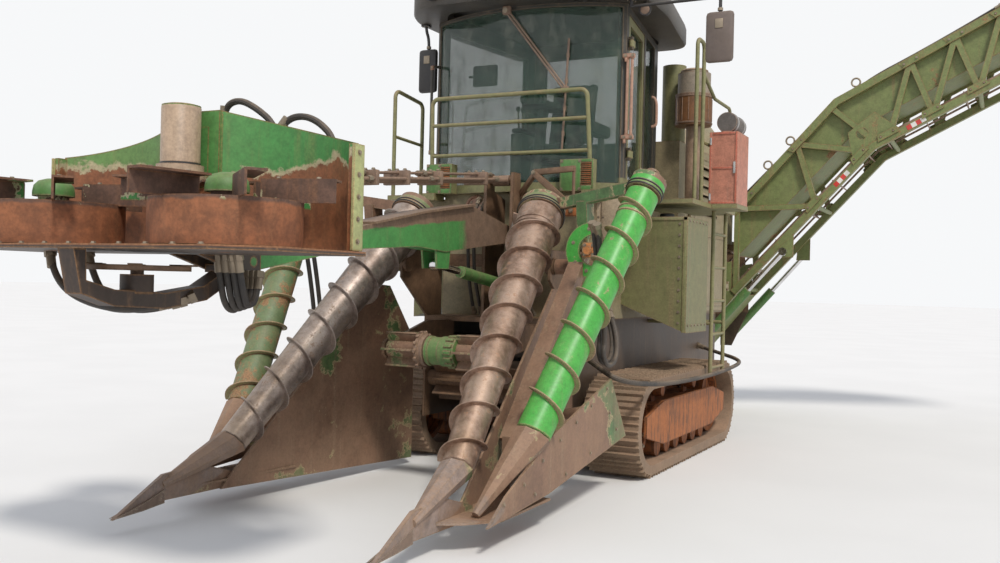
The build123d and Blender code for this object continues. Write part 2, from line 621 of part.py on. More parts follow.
def cab_plan(inset, z0, z1):
    """The cab's plan, bowed at the front and narrower behind, inset by a wall."""
    hf, hr = CAB_HALF_FRONT - inset, CAB_HALF_REAR - inset
    front, back = CAB_FRONT_Y, CAB_REAR_Y - inset
    nose = CAB_FRONT_Y - CAB_BULGE + inset
    outline = [ThreePointArc((-hf, front), (0, nose), (hf, front)), Line((hf, front), (hr, back)),
               Line((hr, back), (-hr, back)), Line((-hr, back), (-hf, front))]
    return extrude(Plane.XY.offset(z0) * make_face(Wire(outline)), z1 - z0)


def cab_side_box(y0, y1, z0, z1, side, depth=330):
    """A box that reaches through the cab's side wall, to cut a door or window."""
    x0, x1 = side * (CAB_HALF_REAR - depth), side * (CAB_HALF_FRONT + 200)
    return block((min(x0, x1), max(x0, x1)), (y0, y1), (z0, z1))


DOOR_Y = (CAB_FRONT_Y + 90, 1180)
SIDE_WINDOW_Y = (1250, 1680)
DOOR_Z = (CAB_FLOOR_Z + 45, CAB_TOP_Z - 60)
DOOR_FRAME = 70
DOOR_HINGE = (872, 488)
HINGE_PIN = 10
HINGE_EYE = 18
DOOR_HINGE_Z = (2520, 3400)


def hinge_pin(x, y, z, reach):
    """A vertical pin held between two lugs that reach inwards to the frame."""
    lugs = [block((x - reach, x + 15), (y - 18, y + 18), (z + lift, z + lift + 18)) for lift in (-50, 32)]
    return weld(rod((x, y, z - 50), (x, y, z + 50), HINGE_PIN), *lugs)


def hinge_eye(x, y, z, leaf):
    """The eye that turns on a hinge pin, joined to its door by a leaf."""
    bore = rod((x, y, z - 40), (x, y, z + 40), HINGE_PIN + PIN_CLEARANCE)
    return weld(rod((x, y, z - 28), (x, y, z + 28), HINGE_EYE), leaf) - bore


def windscreen_box():
    half = CAB_HALF_FRONT - SCREEN_MARGIN
    return block((-half, half), (-200, CAB_FRONT_Y - 10), (CAB_GLASS_Z - SCREEN_MARGIN, CAB_TOP_Z - SCREEN_MARGIN))


def cab_windows():
    """Boxes that cut the right side, left rear and rear windows."""
    z0, z1 = CAB_GLASS_Z, CAB_TOP_Z - 60
    return [cab_side_box(DOOR_Y[0], SIDE_WINDOW_Y[1], z0, z1, -1),
            cab_side_box(*SIDE_WINDOW_Y, z0, z1, 1),
            block((-480, 480), (CAB_REAR_Y - 100, CAB_REAR_Y + 50), (z0 + 450, z1))]


def make_cab():
    """Floor, sills, pillars, header and rear wall, with windscreen, door and windows cut."""
    shell = cab_plan(0, CAB_FLOOR_Z, CAB_TOP_Z) - cab_plan(CAB_WALL, CAB_FLOOR_Z + 45, CAB_TOP_Z)
    door = cab_side_box(DOOR_Y[0], DOOR_Y[1], DOOR_Z[0], DOOR_Z[1], 1)
    x, y = DOOR_HINGE
    pins = [hinge_pin(x, y, z, 40) for z in DOOR_HINGE_Z]
    return weld(shell - windscreen_box() - door - cab_windows(), *pins, *grab_bars())


GRAB_Z = (2560, 3320)


def grab_bars():
    """Handles at both front corners: a double bar on the left, a bent one on the right."""
    x, y = CAB_HALF_FRONT, CAB_FRONT_Y
    low, high = GRAB_Z[0] + 90, GRAB_Z[1] - 30
    feet = [block((x - 15, x + 75), (y - 38, y + 2), (z - 25, z + 5)) for z in (low, high)]
    bars = [rod((x + near, y - 22, low), (x + near, y - 22, high), 10) for near in (20, 58)]
    bent = bent_pipe([(-x + 30, y - 10, GRAB_Z[0]), (-x, y - 100, GRAB_Z[0]), (-x, y - 100, GRAB_Z[1]),
                      (-x + 30, y - 10, GRAB_Z[1])], 12, 40)
    return [*feet, *bars, bent]


# centre, width and the place of the arm's foot under the roof
MIRRORS = [((1630, 300, 3340), 210, (930, 300)), ((-985, 450, 3310), 180, (-985, 400))]
MIRROR_HEIGHT = 380
MIRROR_DEPTH = 60


def make_mirrors():
    """Two mirrors, each hung from the roof's underside on a bent tube."""
    pieces = []
    seat = CAB_TOP_Z - SEAT_GAP
    for (x, y, z), width, (fx, fy) in MIRRORS:
        half, deep, tall = width / 2, MIRROR_DEPTH / 2, MIRROR_HEIGHT / 2
        head = chamfer(block((x - half, x + half), (y - deep, y + deep), (z - tall, z + tall)).edges(), 20)
        foot = block((fx - 35, fx + 35), (fy - 35, fy + 35), (seat - 15, seat))
        arm = bent_pipe([(fx, fy, seat - 5), (fx, fy, seat - 60), (x, y, seat - 60), (x, y, z + tall - 10)]
                        if abs(fx - x) > 100 else [(fx, fy, seat - 5), (fx, fy, seat - 50), (x, y, seat - 110),
                                                   (x, y, z + tall - 10)], 13, 25)
        pieces.append(weld(head, foot, arm))
    return Part() + pieces


WIPER_PIVOT = (-60, 128, 3660)
WIPER_BLADE = ((458, 196, 3410), (421, 190, 2530))
WIPER_JOINT = (438, 190, 3008)


def make_wiper():
    """A double arm hung from the roof's front, with its long blade over the glass."""
    x, y, z = WIPER_PIVOT
    jx, jy, jz = WIPER_JOINT
    foot = block((x - 35, x + 35), (y - 28, y + 17), (z - 30, CAB_TOP_Z - SEAT_GAP))
    arms = [rod((x + near, y, z), (jx + near, jy, jz), 8) for near in (-14, 14)]
    joint = block((jx - 30, jx + 30), (jy - 12, jy + 10), (jz - 25, jz + 25))
    return weld(foot, *arms, joint, rod(*WIPER_BLADE, 10))


def pane_ring():
    mid = CAB_WALL / 2 - GLASS_THICKNESS / 2
    return cab_plan(mid, CAB_FLOOR_Z, CAB_TOP_Z) - cab_plan(mid + GLASS_THICKNESS, CAB_FLOOR_Z, CAB_TOP_Z)


def make_windscreen():
    return pane_ring() & windscreen_box()


def make_side_panes():
    """The side and rear panes, let into the shell."""
    ring = pane_ring()
    return [ring & window for window in cab_windows()]


def make_door():
    g, f = DOOR_GAP, DOOR_FRAME
    wall = cab_plan(4, DOOR_Z[0] + g, DOOR_Z[1] - g) - cab_plan(CAB_WALL - 8, DOOR_Z[0] + g, DOOR_Z[1] - g)
    door = wall & cab_side_box(DOOR_Y[0] + g, DOOR_Y[1] - g, DOOR_Z[0], DOOR_Z[1], 1)
    window = cab_side_box(DOOR_Y[0] + g + f, DOOR_Y[1] - g - f, DOOR_Z[0] + g + f, DOOR_Z[1] - g - f, 1)
    x, y = DOOR_HINGE
    eyes = [hinge_eye(x, y, z, weld(block((x - 10, x + 12), (y, y + 60), (z - 28, z + 28)),
                                    block((x - 40, x + 12), (y + 22, y + 60), (z - 28, z + 28))))
            for z in DOOR_HINGE_Z]
    return weld(door - window, *eyes)


def make_door_glass():
    g, f = DOOR_GAP, DOOR_FRAME
    window = cab_side_box(DOOR_Y[0] + g + f, DOOR_Y[1] - g - f, DOOR_Z[0] + g + f, DOOR_Z[1] - g - f, 1)
    return pane_ring() & window


def make_roof():
    """A thick moulded roof that overhangs all round, with bevelled edges."""
    half, taper = ROOF_HALF, 130
    body = floor_plate([(-half, 300), (-half + 250, ROOF_FRONT_Y), (half - 250, ROOF_FRONT_Y), (half, 300),
                        (half - 80, ROOF_REAR_Y), (-half + 80, ROOF_REAR_Y)], CAB_TOP_Z, ROOF_TOP_Z)
    cavity = block((-half + 260, half - 260), (100, ROOF_REAR_Y - 200), (CAB_TOP_Z + 20, ROOF_TOP_Z - 40))
    lamps = [rod((x, ROOF_FRONT_Y - 45, LAMP_Z), (x, ROOF_FRONT_Y + 10, LAMP_Z), LAMP_RADIUS) for x in LAMP_X]
    return weld(chamfer(body.edges().group_by(Axis.Z)[-1], taper, taper * 0.8) - cavity, *lamps)


def make_seat():
    floor = CAB_FLOOR_Z + 45
    y = 1150
    pieces = [block((-150, 150), (y - 150, y + 200), (floor, floor + 330)),
              block((-260, 260), (y - 260, y + 260), (floor + 330, floor + 450)),
              side_plate([(y + 180, floor + 440), (y + 290, floor + 440), (y + 400, floor + 1080),
                          (y + 300, floor + 1080)], -240, 240),
              block((260, 400), (y - 250, y + 200), (floor + 520, floor + 640)),
              block((300, 360), (y + 60, y + 160), (floor, floor + 520)),
              block((255, 330), (y + 60, y + 160), (floor + 380, floor + 450))]
    return weld(*pieces)


def make_steering():
    """Column and hand wheel on the cab floor."""
    floor = CAB_FLOOR_Z + 45
    base, top = (0, 560, floor), (0, 760, floor + 780)
    axis = Vector(*top) - Vector(*base)
    column = rod(base, tuple(Vector(*top) + axis.normalized() * 5), 45)
    plate = block((-120, 120), (480, 640), (floor, floor + 25))
    rim = Plane(origin=top, x_dir=(1, 0, 0), z_dir=axis) * Torus(WHEEL_RADIUS, 14)
    spokes = [Plane(origin=top, x_dir=(1, 0, 0), z_dir=axis) * (Rot(0, 0, a) * block((0, WHEEL_RADIUS), (-14, 14), (-7, 7)))
              for a in (30, 150, 270)]
    under = block((-200, 200), (400, 900), (floor - 100, floor))
    return weld(column, plate, rim, *spokes) - under


def make_cab_base():
    """Sheet housings under the cab, open below, split by two lengthwise frames."""
    z0 = DECK_Z
    half = BASE_HALF
    outer = weld(block((-half, half), (290, 1950), (z0, CAB_FLOOR_Z)),
                 block((-1000, 1000), (330, 690), (1980, CAB_FLOOR_Z - 50)))
    bays = [block((x0, x1), (310, 1930), (z0 - 10, CAB_FLOOR_Z - 20)) for x0, x1 in
            ((-half + 20, -340), (-320, 320), (340, half - 20))]
    return outer - bays


def make_left_tank():
    x0, x1 = BASE_HALF, 1250
    outline = [(x0, 1320), (x1, 1100), (x1, 2050), (x0, 2050)]
    body = front_plate(outline, 880, 1500)
    inner = front_plate([(x0 + 15, 1340), (x1 - 15, 1125), (x1 - 15, 2035), (x0 + 15, 2035)], 895, 1485)
    return body - inner


def make_right_tank():
    x0, x1 = BASE_HALF, 1230
    outline = [(-x0, 1320), (-x1, 1150), (-x1, 2050), (-x0, 2050)]
    body = front_plate(outline, 700, 1900)
    inner = front_plate([(-x0 - 15, 1340), (-x1 + 15, 1175), (-x1 + 15, 2035), (-x0 - 15, 2035)], 715, 1885)
    return body - inner


def rail(points):
    return bent_pipe(points, 17, 60)


def make_front_rail():
    """The guard rail in front of the windscreen, with the boxes that it stands on."""
    y, z0 = 130, CAB_FLOOR_Z - 60
    hoop = rail([(-760, y + 60, z0), (-740, y, 2990), (650, y, 2990), (680, y + 60, z0)])
    bars = [rod((-749, y + 15, 2770), (664, y + 15, 2770), 15), rod((-755, y + 35, 2520), (672, y + 35, 2520), 15)]
    feet = [block((x - 60, x + 60), (y, y + 160), (2150, CAB_FLOOR_Z)) for x in (-760, 680)]
    # left and right side of each vent box, and its back
    vents = []
    for x0, x1, back in ((-790, -550, 240), (430, 710, 212)):
        box = block((x0, x1), (y + 20, back), (CAB_FLOOR_Z - 5, VENT_TOP))
        slots = [block((x1 - 100, x1 - 20), (y, y + 35), (z, z + 12)) for z in stations(CAB_FLOOR_Z + 40, VENT_TOP - 30, 30)]
        vents.append(box - slots)
    return weld(hoop, *bars, *feet, *vents)


VENT_TOP = 2450


def make_platforms():
    """Side steps with their rails, the ladder on the left and the shelf for the red locker."""
    z0, z1 = CAB_FLOOR_Z - 50, CAB_FLOOR_Z - 10
    foot = z0 + 20
    right = block((-1180, -CAB_HALF_FRONT - 30), (150, 1900), (z0, z1))
    left = weld(block((CAB_HALF_FRONT + 30, 1280), (900, 2300), (z0, z1)),
                block((1270, 1500), (1470, 1870), (z0, z1)))
    join = [block((-CAB_HALF_FRONT - 40, -BASE_HALF), (1000, 1900), (z0, z1)),
            block((BASE_HALF, CAB_HALF_FRONT + 40), (1000, 1900), (z0, z1))]
    rails = [rail([(-1150, 190, foot), (-1150, 190, 3110), (-1150, 640, 3060), (-1150, 640, foot)]),
             rod((-1150, 190, 2710), (-1150, 640, 2690), 14),
             rail([(1225, 1130, foot), (1225, 1130, 3560), (1225, 1330, 3560), (1225, 1330, foot)]),
             bent_pipe([(1225, 1330, 3300), (1225, 1700, 3150), (1225, 2250, 3150), (1225, 2250, foot)], 15, 60),
             rod((1225, 1330, 2720), (1225, 2250, 2720), 14)]
    ladder = [rod((1225, 1760, 700), (1225, 1760, z0), 18), rod((1225, 2180, 700), (1225, 2180, z0), 18)]
    ladder += [rod((1225, 1760, z), (1225, 2180, z), 14) for z in (760, 1060, 1360, 1660, 1960)]
    ladder += [rod((WALL_INNER + WALL, y, 1160), (1225, y, 1160), 16) for y in (1760, 2180)]
    return weld(right, left, *join, *rails, *ladder)


def make_air_cleaner():
    x, y, z = 960, 1960, CAB_FLOOR_Z - 10
    pieces = [rod((x, y, z), (x, y, 3000), 65), rod((x, y, 2960), (x, y, 3230), 165),
              rod((x, y, 3230), (x, y, 3440), 150), rod((x, y, 3440), (x, y, 3470), 120)]
    muffler = rod((720, 2120, HOUSING_TOP), (720, 2120, 3560), 110)
    return weld(*pieces), muffler


def make_locker():
    low = CAB_FLOOR_Z - 10
    box = block((1250, 1495), (1480, 1860), (low, 2820)) - block((1265, 1480), (1495, 1845), (low + 15, 2805))
    return weld(box, rod((1390, 1500, 2905), (1390, 1840, 2905), 87))


def make_engine():
    """A plain block the size of the engine, hollow so that it weighs about as much."""
    return block((-420, 420), (2350, 3450), (DECK_Z, 2150)) - block((-390, 390), (2380, 3420), (DECK_Z + 30, 2120))


ENGINE_DOOR_Y = (HOUSING_Y[0] + 340, HOUSING_Y[1] - 25)
ENGINE_HINGE = (HOUSING_HALF + 42, HOUSING_Y[1] - 2)
ENGINE_HINGE_Z = (1500, 2500)


def make_engine_housing():
    """Frame, front and rear walls and louvred roof round the engine."""
    (y0, y1), h, top = HOUSING_Y, HOUSING_HALF, HOUSING_TOP
    low = DECK_Z + 20
    pieces = []
    for y, t in ((y0, 20), (y1 - 20, 20)):
        pieces.append(block((-h, h), (y, y + t), (low, top)))
    for x in (-h, h - 60):
        for z in (low, top - 60):
            pieces.append(block((x, x + 60), (y0, y1), (z, z + 60)))
    pieces.append(block((-h, h), (y0, y1), (top - 20, top)))
    sill = [block((WALL_INNER, h), (y, y + 60), (low, low + 60)) for y in (y0, y1 - 60)]
    pieces += sill + [mirrored(s) for s in sill]
    pieces += [block((x, x + 60), (y, y + 80), (DECK_Z, low)) for x in (-600, 540) for y in (y0, y1 - 80)]
    for side in (block((h - 15, h), (y0, ENGINE_DOOR_Y[0] - 10), (low, top)),
                 *[hinge_pin(*ENGINE_HINGE, z, 50) for z in ENGINE_HINGE_Z]):
        pieces += both_sides(side)
    body = weld(*pieces)
    slots = [block((-560, 560), (y, y + 40), (top - 30, top + 10)) for y in stations(y0 + 250, y1 - 250, LOUVRE_PITCH)]
    return body - slots


def make_engine_door(side):
    """A side door hinged at the rear, with louvre slots."""
    (y0, y1), h, top = ENGINE_DOOR_Y, HOUSING_HALF, HOUSING_TOP
    x0, x1 = h + 6, h + 26
    panel = block((x0, x1), (y0, y1), (DECK_Z + 40, top - 20))
    slots = [block((x0 - 5, x1 + 5), (y0 + 250, y0 + 950), (z, z + 35)) for z in stations(2200, 2650, 90)]
    x, y = ENGINE_HINGE
    eyes = [hinge_eye(x, y, z, block((x1 - 2, x + 12), (y - 80, y), (z - 28, z + 28))) for z in ENGINE_HINGE_Z]
    door = weld(panel - slots, *eyes)
    return door if side > 0 else mirrored(door)


def duct_solid(radius, z0, z1, front):
    """The duct's outside at one radius: a round rear half running straight forward."""
    return weld(rod((0, DUCT_Y, z0), (0, DUCT_Y, z1), radius),
                block((-radius, radius), (front, DUCT_Y), (z0, z1)))


def make_duct():
    """The chamber over the slew table, its fan ring, and the spider that holds the fan."""
    r, w, front, top = DUCT_RADIUS, DUCT_WALL, REAR_BAY_Y, DUCT_TOP_Z
    low = FLANGE_Z[1]
    shell = duct_solid(r, low, top, front) - duct_solid(r - w, low - 1, top - w, front + w)
    ring = hollow_rod((0, DUCT_Y, top), (0, DUCT_Y, top + RING_HEIGHT), r, r - w)
    mouth = rod((0, DUCT_Y, top - w - 5), (0, DUCT_Y, top + 5), r - w)
    spider = [Pos(0, DUCT_Y, 0) * Rot(0, 0, a) * block((0, r - 5), (-20, 20), (top - 60, top - 20))
              for a in (90, 210, 330)]
    motor = rod((0, DUCT_Y, top - 220), (0, DUCT_Y, top - 10), 90)
    flange = weld(rod((0, SLEW_Y, FLANGE_Z[0]), (0, SLEW_Y, low), SLEW_RADIUS),
                  duct_solid(r, FLANGE_Z[0], low, front))
    slew_hole = rod((0, SLEW_Y, FLANGE_Z[0] - 5), (0, SLEW_Y, low + 5), SLEW_HOLE)
    throat = block((-520, 520), (REAR_BAY_Y + 60, DUCT_Y), (FLANGE_Z[0] - 5, low + 5))
    opening = weld(slew_hole & duct_solid(r - w, FLANGE_Z[0] - 5, low + 5, front), throat)
    socket = rod((0, DUCT_Y, top - 60), (0, DUCT_Y, top), SHAFT_RADIUS + PIN_CLEARANCE)
    return weld(shell - mouth, ring, *spider, motor, flange - opening) - socket


def make_fan(centre, z, radius, blades, shaft_down):
    hub = weld(rod((centre[0], centre[1], z), (centre[0], centre[1], z + 90), 110),
               rod((centre[0], centre[1], z - shaft_down), (centre[0], centre[1], z), SHAFT_RADIUS))
    pieces = [hub]
    for i in range(blades):
        blade = Rot(28, 0, 0) * block((90, radius), (-60, 60), (-5, 5))
        pieces.append(Pos(centre[0], centre[1], z + 50) * Rot(0, 0, 360 * i / blades) * blade)
    return weld(*pieces)


def elbow(radius, wall, z, arc, bend):
    """A pipe elbow that rises from z and bends towards -X."""
    section = Circle(radius) - Circle(radius - wall)
    turned = revolve(Plane.XY * section, axis=Axis((-arc, 0, 0), (0, -1, 0)), revolution_arc=bend)
    return Pos(0, 0, z) * turned


def make_extractor_hood():
    z = DUCT_TOP_Z + RING_HEIGHT + SEAT_GAP
    return Pos(0, DUCT_Y, 0) * elbow(DUCT_RADIUS, DUCT_WALL, z, HOOD_ARC, HOOD_BEND)


def heading(angle):
    a = math.radians(angle)
    return math.cos(a), math.sin(a)


def elevator_point(section, along, up):
    """(u, z) on a section of the elevator: along its bottom chord, and square above it."""
    c, s = heading(LOWER_ANGLE)
    u, z = FOOT
    if section == "upper":
        u, z = u + c * LOWER_LENGTH, z + s * LOWER_LENGTH
        c, s = heading(UPPER_ANGLE)
    return u + c * along - s * up, z + s * along + c * up


def knee_line(up):
    """Where a line at that height above both bottom chords turns at the knee."""
    half = math.radians((LOWER_ANGLE - UPPER_ANGLE) / 2)
    return elevator_point("lower", LOWER_LENGTH + up * math.tan(half), up)


def above_foot(up):
    """How far along the lower section a height stands straight above the foot."""
    return up * math.tan(math.radians(LOWER_ANGLE))


def band(up0, up1, start, end):
    """A strip between two heights above the chords, as a closed outline in (u, z). It runs
    to end on the upper section, from start on the lower one or, with None, from above the foot."""
    starts = [above_foot(up) if start is None else start for up in (up0, up1)]
    return [elevator_point("lower", starts[0], up0), knee_line(up0), elevator_point("upper", end, up0),
            elevator_point("upper", end, up1), knee_line(up1), elevator_point("lower", starts[1], up1)]


def elevator_plate(points, w0, w1):
    """A plate with its outline in the elevator's side view, from w0 to w1 across it."""
    return front_plate(points, SLEW_Y + w0, SLEW_Y + w1)


def elevator_bar(p, q, w, size):
    """A square bar between two (u, z) points, at w across the elevator."""
    axis = Vector(q[0] - p[0], 0, q[1] - p[1])
    start = Plane(origin=(p[0], SLEW_Y + w, p[1]), x_dir=(0, 1, 0), z_dir=axis)
    return extrude(start * Rectangle(size, size), axis.length)


def elevator_rod(point, w0, w1, radius):
    """A round bar across the elevator."""
    return rod((point[0], SLEW_Y + w0, point[1]), (point[0], SLEW_Y + w1, point[1]), radius)


def on_elevator(shape):
    """Turns a piece built in side view along Y so that it lies along the elevator."""
    return Pos(0, SLEW_Y, 0) * Rot(0, 0, -90) * shape


TRUSS_TOP = TRUSS_DEPTH - CHORD / 2
CHAIN_THICKNESS = 20
SLAT_HEIGHT = 40
RETURN_UP = 65
CHAIN_OUTER = (FLOOR_OFFSET + SEAT_GAP + CHAIN_THICKNESS - RETURN_UP) / 2
CHAIN_MID = RETURN_UP + CHAIN_OUTER
CHAIN_HALF = 360
CHAIN_STEP = 30
SPROCKET_RADIUS = (CHAIN_OUTER - CHAIN_THICKNESS) * math.cos(math.radians(CHAIN_STEP / 2)) - SEAT_GAP
HEAD_END = UPPER_LENGTH + 30
PANEL = 490


def make_truss():
    """Both side trusses, their cross members, and the trough that they carry."""
    inner = TRUSS_HALF - CHORD
    middle = TRUSS_HALF - CHORD / 2
    pieces = []
    chords = [band(-CHORD / 2, CHORD / 2, 0, UPPER_LENGTH),
              band(TRUSS_TOP - CHORD / 2, TRUSS_TOP + CHORD / 2, None, UPPER_LENGTH)]
    for w0 in (-TRUSS_HALF, inner):
        for outline in chords:
            pieces.append(elevator_plate(outline, w0, w0 + CHORD))
    start = above_foot(TRUSS_TOP)
    # section and place on the bottom chord, then on the top chord
    braces = [("lower", 40, "lower", start + 40), ("lower", 1335, "lower", start + 40),
              ("lower", 1335, "lower", 1700), ("lower", 2130, "lower", 1700), ("upper", 60, "lower", 2230)]
    for k in range(5):
        braces += [("upper", 186 + PANEL * k, "upper", 734 + PANEL * k),
                   ("upper", 186 + PANEL * (k + 1), "upper", 734 + PANEL * k)]
    braces.append(("upper", UPPER_LENGTH - 40, "upper", UPPER_LENGTH - 40))
    for low_section, a, high_section, b in braces:
        p, q = elevator_point(low_section, a, 0), elevator_point(high_section, b, TRUSS_TOP)
        for w in (-middle, middle):
            pieces.append(elevator_bar(p, q, w, BRACE))
    for section, along in (("lower", 60), ("lower", 1335), ("upper", 186), ("upper", 186 + 2 * PANEL),
                           ("upper", 186 + 4 * PANEL)):
        pieces.append(elevator_rod(elevator_point(section, along, -10), -inner - 5, inner + 5, 25))
    trough = TROUGH_HALF + 10
    floor = elevator_plate(band(FLOOR_OFFSET - 12, FLOOR_OFFSET, None, UPPER_LENGTH - 150), -trough, trough)
    sides = [elevator_plate(band(FLOOR_OFFSET - 40, TRUSS_TOP + 20, None, UPPER_LENGTH), w, w + 14)
             for w in (-TROUGH_HALF - 12, TROUGH_HALF - 2)]
    bracket = [elevator_point("lower", LOWER_LENGTH - 260, 30), elevator_point("lower", LOWER_LENGTH - 60, 300),
               elevator_point("upper", 180, 330), elevator_point("upper", 330, 30)]
    hole = elevator_rod(knee_line(180), -TRUSS_HALF - 50, TRUSS_HALF + 50, 60)
    plates = [elevator_plate(bracket, w, w + 16) - hole for w in (-TRUSS_HALF + 8, TRUSS_HALF - 24)]
    u, z = RAM_EYE
    lugs = [elevator_plate([(u - 70, z - 60), (u + 90, z - 60), (u + 90, z + 200), (u - 60, z + 60)], w, w + 14)
            for w in (-TRUSS_HALF - 2, TRUSS_HALF - 12)]
    head = elevator_point("upper", HEAD_END, CHAIN_MID)
    shaft = elevator_rod(head, -TRUSS_HALF, TRUSS_HALF, 35)
    ends = [elevator_plate([elevator_point("upper", UPPER_LENGTH - 10, 20), elevator_point("upper", HEAD_END + 60, CHAIN_MID - 60),
                            elevator_point("upper", HEAD_END + 60, CHAIN_MID + 60),
                            elevator_point("upper", UPPER_LENGTH - 10, 560)], w, w + 20)
            for w in (-TRUSS_HALF + 10, TRUSS_HALF - 30)]
    sprockets = [elevator_rod(head, w - 12, w + 12, SPROCKET_RADIUS)
                 for w in (-CHAIN_HALF, CHAIN_HALF)]
    return weld(*pieces, floor, *sides, *plates, *lugs, shaft, *ends, *sprockets, *make_flap_pins())


def make_bowl():
    """The hopper at the elevator's foot: two cheeks, a back and a floor, open above."""
    tail = elevator_point("lower", -TAIL_OFFSET, 0)
    foot_low, foot_high = elevator_point("lower", 0, -CHORD / 2), elevator_point("lower", 0, CHORD / 2)
    floor_start = (tail[0] + 60, tail[1] - 100)
    back_line = [(-520, 1090), (-520, 760), (-330, 520), floor_start, foot_low]
    rim = [(foot_high[0] + 10, foot_high[1] + 40), (foot_high[0] + 10, 1790), (300, 1720), (-300, 1500)]
    cheeks = [elevator_plate(back_line + [foot_high] + rim, w, w + 14)
              for w in (-TRUSS_HALF + 16, TRUSS_HALF - 30)]
    half = TRUSS_HALF - 20
    inside = [(foot_low[0] - 16, foot_low[1] + 8), (floor_start[0] - 6, floor_start[1] + 15), (-323, 535),
              (-506, 764), (-506, 1090)]
    back = elevator_plate(back_line + inside, -half, half)
    u, z = ELEVATOR_PIVOT
    inner = TRUSS_HALF - 20
    stubs = [elevator_rod((u, z), s * inner, s * (TRUSS_HALF + 78), 32) for s in (-1, 1)]
    pads = [elevator_rod((u, z), s * inner, s * (TRUSS_HALF + 18), 75) for s in (-1, 1)]
    tail = elevator_point("lower", -TAIL_OFFSET, CHAIN_MID)
    shaft = elevator_rod(tail, -inner, inner, 35)
    sprockets = [elevator_rod(tail, w - 12, w + 12, SPROCKET_RADIUS)
                 for w in (-CHAIN_HALF, CHAIN_HALF)]
    return weld(*cheeks, back, *stubs, *pads, shaft, *sprockets)


def chain_outline(radius):
    """The loop's outline at one radius round its tail and head."""
    points = []
    for a in range(-90, 91, CHAIN_STEP):
        c, s = heading(a)
        points.append(elevator_point("upper", HEAD_END + radius * c, CHAIN_MID + radius * s))
    points.append(knee_line(CHAIN_MID + radius))
    for a in range(90, 271, CHAIN_STEP):
        c, s = heading(a)
        points.append(elevator_point("lower", -TAIL_OFFSET + radius * c, CHAIN_MID + radius * s))
    points.append(knee_line(CHAIN_MID - radius))
    return points


def make_slat_chain():
    """Two side chains round the tail and head sprockets, joined by cross slats."""
    pieces = []
    for w in (-CHAIN_HALF, CHAIN_HALF):
        pieces.append(elevator_plate(chain_outline(CHAIN_OUTER), w - 12, w + 12)
                      - elevator_plate(chain_outline(CHAIN_OUTER - CHAIN_THICKNESS), w - 13, w + 13))
    reach = TROUGH_HALF - 12
    slats = [("lower", a) for a in stations(-TAIL_OFFSET + 100, LOWER_LENGTH - 60, SLAT_PITCH)]
    slats += [("upper", a) for a in stations(130, HEAD_END - 60, SLAT_PITCH)]
    top, low = CHAIN_MID + CHAIN_OUTER, CHAIN_MID - CHAIN_OUTER
    for section, along in slats:
        for up0, up1 in ((top - CHAIN_THICKNESS + 1, top + SLAT_HEIGHT), (low - SLAT_HEIGHT, low + CHAIN_THICKNESS - 1)):
            outline = [elevator_point(section, along, up0), elevator_point(section, along + 12, up0),
                       elevator_point(section, along + 12, up1), elevator_point(section, along, up1)]
            pieces.append(elevator_plate(outline, -reach, reach))
    return weld(*pieces)


def make_slew_table():
    """The ring that turns under the duct, and the hangers that hold the elevator's foot."""
    z0, z1 = TABLE_Z
    ring = hollow_rod((0, SLEW_Y, z0), (0, SLEW_Y, z1), SLEW_RADIUS, SLEW_HOLE + 5)
    pivot, base = ELEVATOR_PIVOT, RAM_BASE
    outline = [(-300, z0), (-300, z1), (pivot[0] + 60, z1), (pivot[0] + 130, pivot[1] + 60), (pivot[0] + 130, pivot[1] - 40),
               (base[0] + 80, base[1] - 70), (base[0] - 60, base[1] - 70), (base[0] - 70, pivot[1] + 60), (0, z0 - 260)]
    w_in, w_out = TRUSS_HALF + 26, TRUSS_HALF + 46
    pieces = [ring]
    for s in (-1, 1):
        plate = elevator_plate(outline, min(s * w_in, s * w_out), max(s * w_in, s * w_out))
        plate -= elevator_rod(pivot, s * (w_in - 5), s * (w_out + 5), 32 + PIN_CLEARANCE)
        pieces += [plate, elevator_rod(base, s * w_in, s * (w_out + 110), ARM_PIN)]
    w_ear = TRUSS_HALF + 6
    ears = [block((-300, pivot[0] + 60), sorted((SLEW_Y + s * w_ear, SLEW_Y + s * w_out)), (z0, z1)) for s in (-1, 1)]
    return weld(*pieces, *[ear - rod((0, SLEW_Y, z0 - 5), (0, SLEW_Y, z1 + 5), SLEW_HOLE + 5) for ear in ears])


def make_elevator_rams():
    """The two cylinders beside the elevator's foot: (barrels, rods)."""
    barrels, stems = [], []
    middle = TRUSS_HALF + 112
    for x in (-middle, middle):
        barrel, stem = make_ram(RAM_BASE, RAM_EYE, 50, 28, x, 42, 840)
        barrels.append(barrel)
        inward = x - math.copysign(100, x)
        stems += [stem, rod((x, *RAM_EYE), (inward, *RAM_EYE), ARM_PIN)]
    return on_elevator(weld(*barrels)), on_elevator(weld(*stems))


SECOND_U = elevator_point("upper", UPPER_LENGTH - 560, TRUSS_TOP)[0]
SECOND_Z = elevator_point("upper", UPPER_LENGTH - 200, TRUSS_TOP + CHORD / 2)[1] + 130


